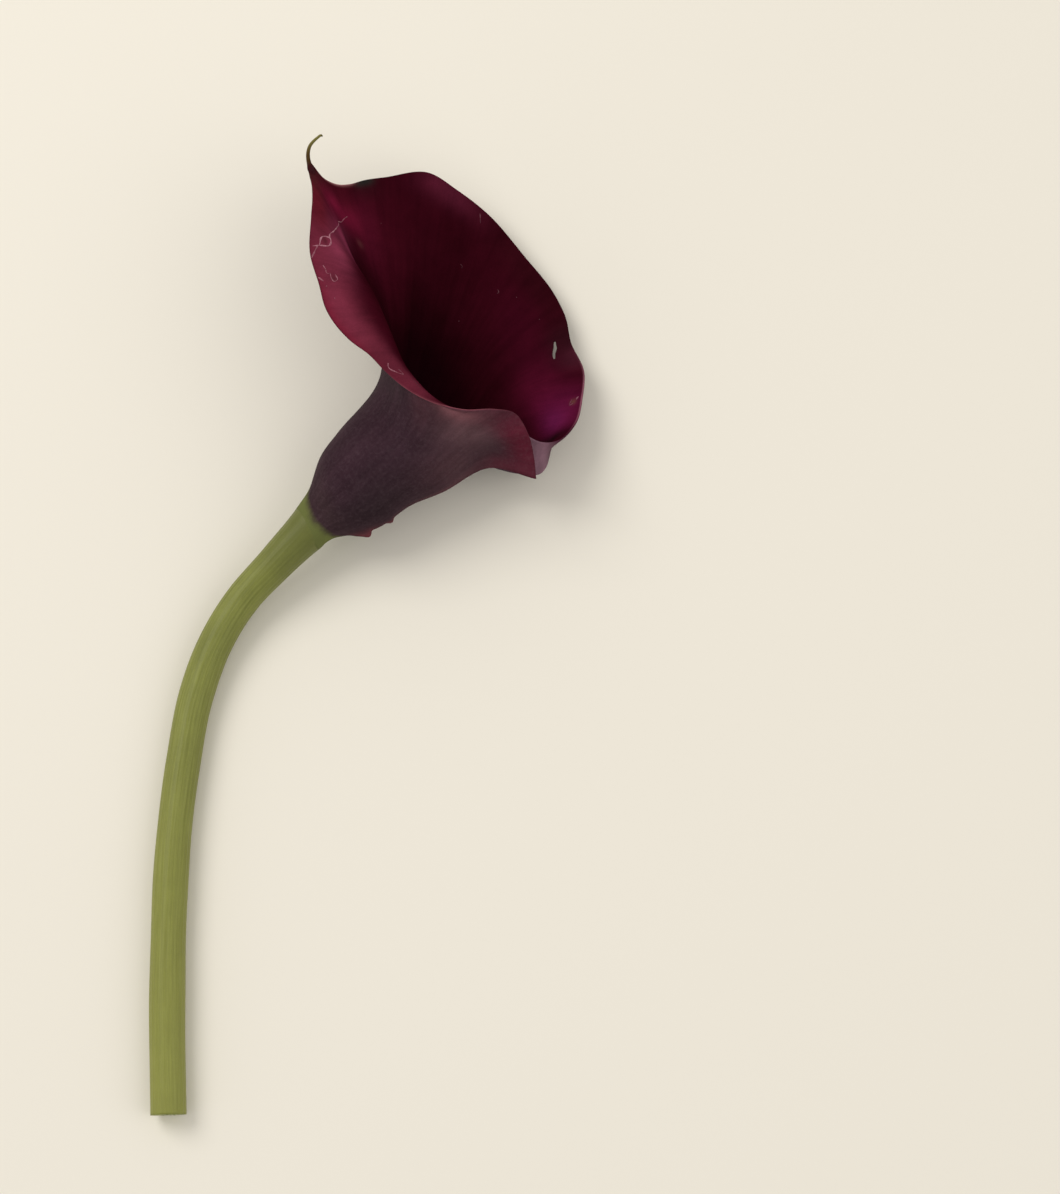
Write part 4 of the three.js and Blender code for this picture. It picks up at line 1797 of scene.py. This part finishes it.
class Nodes:
    """Builds a node tree in short calls."""

    def __init__(self, tree: Tree) -> None:
        """Keeps the tree."""
        self.tree = tree

    def feed(self, socket: Socket, value: object) -> None:
        """Links a socket to an input, or sets the input's value.

        Args:
            socket: The input.
            value: A socket, or the value itself.
        """
        if isinstance(value, Socket):
            self.tree.links.new(value, socket)
        else:
            socket.default_value = value

    def feed_all(self, made: Node, inputs: Dict[str, object]) -> Node:
        """Feeds inputs of a node by name, with _ for a space.

        Args:
            made: The node.
            inputs: Values or sockets by name.

        Returns:
            The node.
        """
        for name, value in inputs.items():
            self.feed(made.inputs[name.replace("_", " ")], value)
        return made

    def node(self, kind: str, **inputs: object) -> Node:
        """Adds a node of a kind and feeds its inputs."""
        return self.feed_all(self.tree.nodes.new(kind), inputs)

    def group(self, tree: Tree, **inputs: object) -> Node:
        """Adds a node group and feeds its inputs.

        Args:
            tree: The group.
            **inputs: Values or sockets by name.

        Returns:
            The node.
        """
        made = self.node("ShaderNodeGroup")
        made.node_tree = tree
        return self.feed_all(made, inputs)

    def math(self, operation: str, *values: object) -> Socket:
        """Adds a Math node.

        Args:
            operation: What it does.
            *values: Values or sockets.

        Returns:
            Its output.
        """
        made = self.node("ShaderNodeMath")
        made.operation = operation
        for socket, value in zip(made.inputs, values):
            self.feed(socket, value)
        return made.outputs[0]

    def weigh(self, a: object, share_a: float, b: object, share_b: float) -> Socket:
        """Adds up two values by their shares."""
        part_a, part_b = self.math("MULTIPLY", a, share_a), self.math("MULTIPLY", b, share_b)
        return self.math("ADD", part_a, part_b)

    def around(self, middle: float, value: object, swing: float) -> Socket:
        """A number with the value's distance from a half added, times a factor."""
        offset = self.math("MULTIPLY", self.math("SUBTRACT", value, 0.5), swing)
        return self.math("ADD", middle, offset)

    def product(self, a: object, b: object) -> Socket:
        """Multiplies two vectors or colours, part by part.

        Args:
            a: The first.
            b: The second.

        Returns:
            The product.
        """
        made = self.node("ShaderNodeVectorMath")
        made.operation = "MULTIPLY"
        self.feed(made.inputs[0], a)
        self.feed(made.inputs[1], b)
        return made.outputs[0]

    def blend(self, share: object, a: object, b: object, how: str = "MIX") -> Socket:
        """Mixes two colours.

        Args:
            share: How much of the second colour is taken.
            a: The first colour, a socket or sRGB values of 0 to 255.
            b: The second.
            how: The way of mixing.

        Returns:
            The mixed colour.
        """
        made = self.node("ShaderNodeMix")
        made.data_type = "RGBA"
        made.blend_type = how
        self.feed(made.inputs[0], share)
        for k, colour in ((6, a), (7, b)):
            is_socket = isinstance(colour, Socket)
            self.feed(made.inputs[k], colour if is_socket else (*linear(colour), 1.0))
        return made.outputs[2]

    def ramp(self, value: object, source: Place, target: Place = (0.0, 1.0)) -> Socket:
        """Maps a value from one range to another, eased at both ends.

        Args:
            value: The value.
            source: Where the ramp starts and ends.
            target: What it gives there.

        Returns:
            The mapped value.
        """
        made = self.node("ShaderNodeMapRange", Value=value)
        made.interpolation_type = "SMOOTHSTEP"
        for name, number in zip(("From Min", "From Max", "To Min", "To Max"), source + target):
            self.feed(made.inputs[name], number)
        return made.outputs["Result"]

    def attribute(self, name: str) -> Socket:
        """A value that the mesh carries at its points.

        Args:
            name: The value's name.

        Returns:
            Its socket.
        """
        made = self.node("ShaderNodeAttribute")
        made.attribute_name = name
        return made.outputs["Fac"]

    def noise(self, where: object, scale: object, detail: float, rough: float = 0.5) -> Socket:
        """Noise from 0 to 1 at a position.

        Args:
            where: The position.
            scale: Bumps to a unit.
            detail: How many finer layers it has.
            rough: Their strength.

        Returns:
            The noise.
        """
        made = self.node("ShaderNodeTexNoise", Vector=where, Scale=scale, Detail=detail)
        self.feed(made.inputs["Roughness"], rough)
        return made.outputs[0]

    def position(self) -> Socket:
        """The object position in mm."""
        made = self.node("ShaderNodeTexCoord")
        return self.product(made.outputs["Object"], (1.0 / MM,) * 3)

    def triple(self, value: Socket) -> Socket:
        """A vector with one value three times."""
        return self.node("ShaderNodeCombineXYZ", X=value, Y=value, Z=value).outputs[0]


class NewGroup(Nodes):
    """A shader node group under construction."""

    def __init__(self, name: str, inputs: Dict[str, str], outputs: Sequence[str]) -> None:
        """Makes the group with its sockets.

        Args:
            name: The group's name.
            inputs: Socket kinds by name.
            outputs: Names of the values that it puts out.
        """
        super().__init__(bpy.data.node_groups.new(name, "ShaderNodeTree"))
        for label, kind in inputs.items():
            self.tree.interface.new_socket(label, in_out="INPUT", socket_type=kind)
        for label in outputs:
            self.tree.interface.new_socket(label, in_out="OUTPUT", socket_type=FLOAT)
        self.given = self.node("NodeGroupInput").outputs
        self.end = self.node("NodeGroupOutput")

    def put_out(self, **values: Socket) -> Tree:
        """Feeds the group's outputs and returns its tree."""
        self.feed_all(self.end, values)
        return self.tree


FLOAT, VECTOR = "NodeSocketFloat", "NodeSocketVector"


class SharedGroups:
    """Shader node groups that more than one finish uses."""

    def __init__(self) -> None:
        """Makes the groups."""
        self.mottle = self._mottle()
        self.foot_blush = self._foot_blush()
        self.fibres = self._fibres()

    @staticmethod
    def _mottle() -> Tree:
        """Uneven pigment.

        Returns:
            The group, with a brightness factor and a height for tissue cells.
        """
        inputs = {"Position": VECTOR, "Patch Scale": FLOAT, "Strength": FLOAT}
        n = NewGroup("tissue_mottle", inputs, ("Factor", "Height"))
        where = n.given["Position"]
        patches = n.noise(where, n.given["Patch Scale"], 4.0, 0.6)
        grain = n.noise(where, 2.6, 3.0, 0.65)
        cells = n.noise(where, 7.5, 2.0)
        pigment = n.math("SUBTRACT", n.weigh(patches, 0.6, grain, 0.4), 0.5)
        swing = n.math("MULTIPLY", n.math("MULTIPLY", pigment, n.given["Strength"]), 2.0)
        height = n.math("ADD", n.math("MULTIPLY", cells, 0.6), grain)
        return n.put_out(Factor=n.math("ADD", 1.0, swing), Height=height)

    @staticmethod
    def _foot_blush() -> Tree:
        """Where the green of the stem gives way to the purple of the spathe.

        Returns:
            The group, with the share of purple.
        """
        n = NewGroup("foot_blush", {"Position": VECTOR, "Climb": FLOAT}, ("Share",))
        uneven = n.math("SUBTRACT", n.noise(n.given["Position"], 0.35, 4.0, 0.6), 0.5)
        climb = n.math("ADD", n.given["Climb"], n.math("MULTIPLY", uneven, 3.0))
        return n.put_out(Share=n.ramp(climb, (-2.2, 1.6)))

    @staticmethod
    def _fibres() -> Tree:
        """Fine lengthwise lines.

        Returns:
            The group, with the strength of the lines.
        """
        names = ("Across", "Along", "Count", "Stretch")
        n = NewGroup("tissue_fibres", dict.fromkeys(names, FLOAT), ("Line",))
        across, along, count, stretch = (n.given[name] for name in names)
        x, y = n.math("MULTIPLY", across, count), n.math("MULTIPLY", along, stretch)
        cell = n.node("ShaderNodeCombineXYZ", X=x, Y=y).outputs[0]
        coarse, fine = n.noise(cell, 1.0, 2.0), n.noise(cell, 3.1, 2.0)
        return n.put_out(Line=n.weigh(coarse, 0.6, fine, 0.4))


class Skin(Nodes):
    """A plant skin under construction: a material with the patterns that the finishes share."""

    def __init__(self, name: str, shared: SharedGroups) -> None:
        """Makes the material.

        Args:
            name: Its name.
            shared: The shared node groups.
        """
        self.made = bpy.data.materials.new(name)
        self.made.use_nodes = True
        super().__init__(self.made.node_tree)
        self.shared = shared
        self.where = self.position()

    def carried_colour(self) -> Socket:
        """The colour that the mesh carries at its points."""
        red, green, blue = (self.attribute(name) for name in ("red", "green", "blue"))
        return self.node("ShaderNodeCombineColor", Red=red, Green=green, Blue=blue).outputs[0]

    def mottle(self, scale: float, strength: float) -> Tuple[Socket, Socket]:
        """Uneven pigment.

        Args:
            scale: Patches to a mm.
            strength: How strong the pattern is.

        Returns:
            A brightness factor and a height.
        """
        made = self.group(self.shared.mottle, Position=self.where, Patch_Scale=scale)
        self.feed(made.inputs["Strength"], strength)
        return made.outputs["Factor"], made.outputs["Height"]

    def fibres(self, across: Socket, along: Socket, count: float, stretch: float) -> Socket:
        """Fine lines along the tissue.

        Args:
            across: Place across the lines.
            along: Place along them.
            count: How many there are to a unit across.
            stretch: How often they change to a unit along.

        Returns:
            Their strength.
        """
        made = self.group(self.shared.fibres, Across=across, Along=along)
        return self.feed_all(made, {"Count": count, "Stretch": stretch}).outputs["Line"]

    def purple_share(self) -> Socket:
        """Share of purple, against the green of the foot."""
        climb = self.attribute("climb")
        return self.group(self.shared.foot_blush, Position=self.where, Climb=climb).outputs[0]

    def bump(self, strength: float, distance: float, height: Socket) -> Socket:
        """A relief of the normals; distance in metres."""
        made = self.node("ShaderNodeBump", Strength=strength, Distance=distance, Height=height)
        return made.outputs[0]

    def finish(self, **inputs: object) -> Material:
        """Feeds the surface's inputs and returns the material."""
        self.feed_all(self.tree.nodes["Principled BSDF"], inputs)
        return self.made


def cover(piece: Piece, material: Material) -> None:
    """Gives a piece its only material."""
    piece.data.materials.clear()
    piece.data.materials.append(material)


# --- finishes ---------------------------------------------------------------------------------


@dataclass(frozen=True)
class SpatheFinish:
    """The spathe's skin: satin maroon inside, duller with a grey bloom outside."""

    shared: SharedGroups
    roughness: float
    gloss: float
    streaks: float
    # Strength of broad lengthwise stripes that paint the shade of shallow folds.
    fold_shade: float = 0.16
    bloom: Colour = (122, 104, 110)
    green: Colour = (93, 99, 54)
    pale_green: Colour = (110, 116, 68)
    sheen: Tuple[float, ...] = (1.0, 0.25, 0.4, 1.0)

    def _streaks(self, skin: Skin, lines: Socket, strength: float) -> Socket:
        """Brightness factor of lengthwise lines."""
        return skin.ramp(lines, (0.3, 0.7), (1.0 - strength, 1.0 + strength))

    def material(self, face: Face) -> Material:
        """Makes the material.

        Args:
            face: The face that it is for.

        Returns:
            The material.
        """
        skin = Skin("spathe_" + face.name.lower(), self.shared)
        rib, row = skin.attribute("rib"), skin.attribute("row")
        factor, cells = skin.mottle(0.15, 0.55)
        fibres = skin.fibres(rib, row, 420.0, 6.0)
        # Broad lengthwise stripes, lighter and darker: painted shade of shallow folds in the blade.
        fold_shade = self._streaks(skin, skin.fibres(rib, row, 34.0, 1.6), self.fold_shade)
        streaks = skin.math("MULTIPLY", self._streaks(skin, fibres, self.streaks), fold_shade)
        factor = skin.math("MULTIPLY", factor, streaks)
        colour = skin.product(skin.carried_colour(), skin.triple(factor))
        outside = skin.math("SUBTRACT", 1.0, skin.ramp(skin.attribute("side"), (0.3, 0.7)))
        bloom = skin.ramp(skin.noise(skin.where, 1.1, 5.0, 0.65), (0.4, 0.8))
        bloom = skin.math("MULTIPLY", skin.math("MULTIPLY", bloom, outside), 0.1)
        colour = skin.blend(bloom, colour, self.bloom)
        green = skin.blend(skin.ramp(fibres, (0.35, 0.65)), self.green, self.pale_green)
        height = skin.math("ADD", skin.math("MULTIPLY", cells, 0.35), fibres)
        return skin.finish(
            Base_Color=skin.blend(skin.purple_share(), green, colour),
            Roughness=skin.around(self.roughness, fibres, 0.25),
            Normal=skin.bump(0.35, 0.00006, height),
            Specular_IOR_Level=self.gloss,
            Specular_Tint=self.sheen,
        )


@dataclass(frozen=True)
class ScarFinish:
    """Pale healed tissue that fades into the skin round it."""

    shared: SharedGroups
    colour: Colour = (186, 128, 144)
    strength: float = 0.85
    roughness: float = 0.55
    gloss: float = 0.15

    def material(self) -> Material:
        """Makes the material.

        Returns:
            The material.
        """
        skin = Skin("scar_tissue", self.shared)
        factor, cells = skin.mottle(0.9, 0.5)
        broken = skin.ramp(skin.noise(skin.where, 2.4, 3.0, 0.6), (0.3, 0.55), (0.3, 1.0))
        share = skin.math("MULTIPLY", skin.attribute("scar"), broken)
        share = skin.math("MULTIPLY", share, self.strength)
        colour = skin.blend(share, skin.carried_colour(), self.colour)
        return skin.finish(
            Base_Color=skin.blend(1.0, colour, skin.triple(factor), "MULTIPLY"),
            Roughness=self.roughness,
            Normal=skin.bump(0.3, 0.00005, cells),
            Specular_IOR_Level=self.gloss,
        )


@dataclass(frozen=True)
class StemFinish:
    """The stem's skin: yellowish green with darker lines, and the pale wet cut end."""

    shared: SharedGroups
    dark: Colour = (116, 120, 54)
    pale: Colour = (132, 136, 68)
    shade: Colour = (92, 96, 46)
    far: Colour = (154, 154, 78)
    purple: Colour = (66, 52, 52)
    pith: Colour = (186, 190, 140)
    vessel: Colour = (96, 112, 56)
    stain: Colour = (150, 140, 84)
    roughness: float = 0.44
    gloss: float = 0.25
    depth: float = 0.12
    depth_colours: Tuple[float, ...] = (0.5, 0.6, 0.2)
    depth_size: float = 0.002

    def _cut_end(self, skin: Skin) -> Socket:
        """Colour of the cut end: pale pith with darker vessels and a faint stain.

        Args:
            skin: The skin under construction.

        Returns:
            The colour.
        """
        cut = skin.blend(skin.ramp(skin.attribute("bundle"), (0.2, 0.7)), self.pith, self.vessel)
        patches = skin.noise(skin.where, 1.4, 3.0)
        return skin.blend(skin.ramp(patches, (0.3, 0.7), (0.0, 0.3)), cut, self.stain)

    def material(self) -> Material:
        """Makes the material.

        Returns:
            The material.
        """
        skin = Skin("stem_skin", self.shared)
        turn = skin.math("DIVIDE", skin.attribute("angle"), TURN)
        fibres = skin.fibres(turn, skin.attribute("run"), 60.0, 0.05)
        factor, cells = skin.mottle(0.09, 0.4)
        colour = skin.blend(skin.ramp(fibres, (0.34, 0.66)), self.dark, self.pale)
        colour = skin.blend(1.0, colour, skin.triple(factor), "MULTIPLY")
        climb = skin.attribute("climb")
        colour = skin.blend(skin.ramp(climb, (-40.0, -110.0), (0.0, 0.4)), colour, self.far)
        colour = skin.blend(skin.ramp(climb, (-34.0, -2.0), (0.0, 0.75)), colour, self.shade)
        colour = skin.blend(skin.purple_share(), colour, self.purple)
        at_cut = skin.ramp(skin.attribute("cut"), (0.4, 0.9))
        height = skin.math("ADD", fibres, skin.math("MULTIPLY", cells, 0.3))
        return skin.finish(
            Base_Color=skin.blend(at_cut, colour, self._cut_end(skin)),
            Roughness=skin.around(self.roughness, fibres, 0.3),
            Normal=skin.bump(0.4, 0.00008, height),
            Specular_IOR_Level=self.gloss,
            Subsurface_Weight=self.depth,
            Subsurface_Radius=self.depth_colours,
            Subsurface_Scale=self.depth_size,
        )


@dataclass(frozen=True)
class SpadixFinish:
    """The florets: dusky rose-brown with paler, dustier tops, and painted shade in the hollows between
    them.
    """

    shared: SharedGroups
    # Dark colour of the hollows between the florets: painted shade.
    gap: Colour = (58, 26, 24)
    floret: Colour = (138, 82, 74)
    pollen: Colour = (176, 130, 98)
    female: Colour = (120, 96, 70)

    def material(self) -> Material:
        """Makes the material.

        Returns:
            The material.
        """
        skin = Skin("spadix_florets", self.shared)
        factor, cells = skin.mottle(0.5, 0.6)
        dusty = skin.ramp(skin.noise(skin.where, 1.7, 4.0), (0.4, 0.7))
        colour = skin.blend(dusty, self.floret, self.pollen)
        lower = skin.ramp(skin.attribute("female"), (0.2, 0.8))
        colour = skin.blend(lower, colour, self.female)
        # Painted shade: the hollows between the florets take the dark gap colour.
        raised = skin.ramp(skin.attribute("floret"), (0.05, 0.6))
        colour = skin.blend(raised, self.gap, colour)
        return skin.finish(
            Base_Color=skin.blend(1.0, colour, skin.triple(factor), "MULTIPLY"),
            Roughness=skin.ramp(factor, (0.7, 1.3), (0.62, 0.82)),
            Normal=skin.bump(0.5, 0.0001, cells),
        )


# --- surroundings -----------------------------------------------------------------------------


@dataclass(frozen=True)
class Floor:
    """The plain pale surface that the flower lies on."""

    size: float = 3.0
    colour: Colour = (240, 235, 224)
    roughness: float = 0.8
    gloss: float = 0.2

    def build(self) -> Piece:
        """Returns:
            The object.
        """
        half = self.size / 2
        mesh = bpy.data.meshes.new("floor")
        corners = [(-half, -half, 0.0), (half, -half, 0.0), (half, half, 0.0), (-half, half, 0.0)]
        mesh.from_pydata(corners, [], [(0, 1, 2, 3)])
        floor = link(bpy.data.objects.new("floor", mesh))
        made = bpy.data.materials.new("pale_surface")
        made.use_nodes = True
        shader = made.node_tree.nodes["Principled BSDF"]
        shader.inputs["Base Color"].default_value = (*linear(self.colour), 1.0)
        shader.inputs["Roughness"].default_value = self.roughness
        shader.inputs["Specular IOR Level"].default_value = self.gloss
        mesh.materials.append(made)
        return floor


@dataclass(frozen=True)
class AreaLamp:
    """A large soft lamp: where it stands in metres, how large it is and its power in watts."""

    name: str
    place: Spot
    size: float
    power: float
    colour: Colour = (255, 252, 246)

    def build(self, target: Vector) -> Piece:
        """Makes the lamp, aimed at the target.

        Args:
            target: The point it shines at.

        Returns:
            The lamp.
        """
        data = bpy.data.lights.new(self.name, "AREA")
        data.shape = "DISK"
        data.size = self.size
        data.energy = self.power
        data.color = tuple(linear(self.colour))
        lamp = link(bpy.data.objects.new(self.name, data))
        lamp.location = self.place
        lamp.rotation_euler = (target - Vector(self.place)).to_track_quat("-Z", "Y").to_euler()
        return lamp


@dataclass(frozen=True)
class StudioLight:
    """Soft light from the upper left and a pale sky all round."""

    sky: Colour = (250, 248, 244)
    sky_strength: float = 0.62
    aim: Spot = (0.01, 0.05, 0.01)
    lamps: Tuple[AreaLamp, ...] = (
        AreaLamp("key", (-0.75, 0.55, 1.1), 0.9, 9.0),
        AreaLamp("fill", (0.9, -0.3, 1.0), 1.2, 3.0),
    )

    def build(self) -> None:
        """Makes the sky and the lamps."""
        world = bpy.data.worlds.new("pale_sky")
        world.use_nodes = True
        sky = world.node_tree.nodes["Background"]
        sky.inputs["Color"].default_value = (*linear(self.sky), 1.0)
        sky.inputs["Strength"].default_value = self.sky_strength
        bpy.context.scene.world = world
        for lamp in self.lamps:
            lamp.build(Vector(self.aim))


@dataclass(frozen=True)
class PhotoCamera:
    """The camera, looking down at the photograph's angle; lengths in metres."""

    aim: Spot = (0.0424, 0.0064, 0.01465)
    elevation: float = 78.0
    distance: float = 0.741886
    lens: float = 85.0
    sensor: float = 36.0
    clip: Place = (0.01, 20.0)

    def build(self) -> Piece:
        """Makes the camera and makes it the scene's.

        Returns:
            The camera.
        """
        data = bpy.data.cameras.new("photo_camera")
        data.lens = self.lens
        data.sensor_width = self.sensor
        data.clip_start, data.clip_end = self.clip
        data.dof.use_dof = False
        camera = link(bpy.data.objects.new("photo_camera", data))
        tilt = math.radians(self.elevation)
        back = Vector((0.0, -math.cos(tilt), math.sin(tilt)))
        up = Vector((0.0, math.sin(tilt), math.cos(tilt)))
        right = Vector((1.0, 0.0, 0.0))
        place = Matrix.Translation(Vector(self.aim) + back * self.distance)
        camera.matrix_world = place @ Matrix((right, up, back)).transposed().to_4x4()
        bpy.context.scene.camera = camera
        return camera


# --- the flower -------------------------------------------------------------------------------


class CallaLily:
    """The whole flower."""

    def __init__(self) -> None:
        """Sets up the parts with their sizes."""
        self.stem = Stem(StemSize())
        self.spathe = Spathe(SpatheSize(), TipSize(), TearSize(), self.stem)
        self.spadix = Spadix(SpadixSize())

    def build(self) -> None:
        """Makes and dresses every part."""
        shared = SharedGroups()
        stem = self.stem.build()
        self.stem.dress(stem, StemFinish(shared))
        spathe = self.spathe.build()
        inner = SpatheFinish(shared, roughness=0.5, gloss=0.0, streaks=0.045)
        outer = SpatheFinish(shared, roughness=0.56, gloss=0.03, streaks=0.06)
        self.spathe.dress(spathe, {Face.INNER: inner, Face.OUTER: outer})
        scars = Scars(ScarSize(), self.spathe)
        scars.dress(scars.build(), ScarFinish(shared))
        spadix = self.spadix.build()
        self.spadix.dress(spadix, SpadixFinish(shared))


def main() -> None:
    """Builds the scene."""
    bpy.context.scene.view_settings.view_transform = "Standard"
    Floor().build()
    StudioLight().build()
    PhotoCamera().build()
    CallaLily().build()


if __name__ == "__main__":
    main()
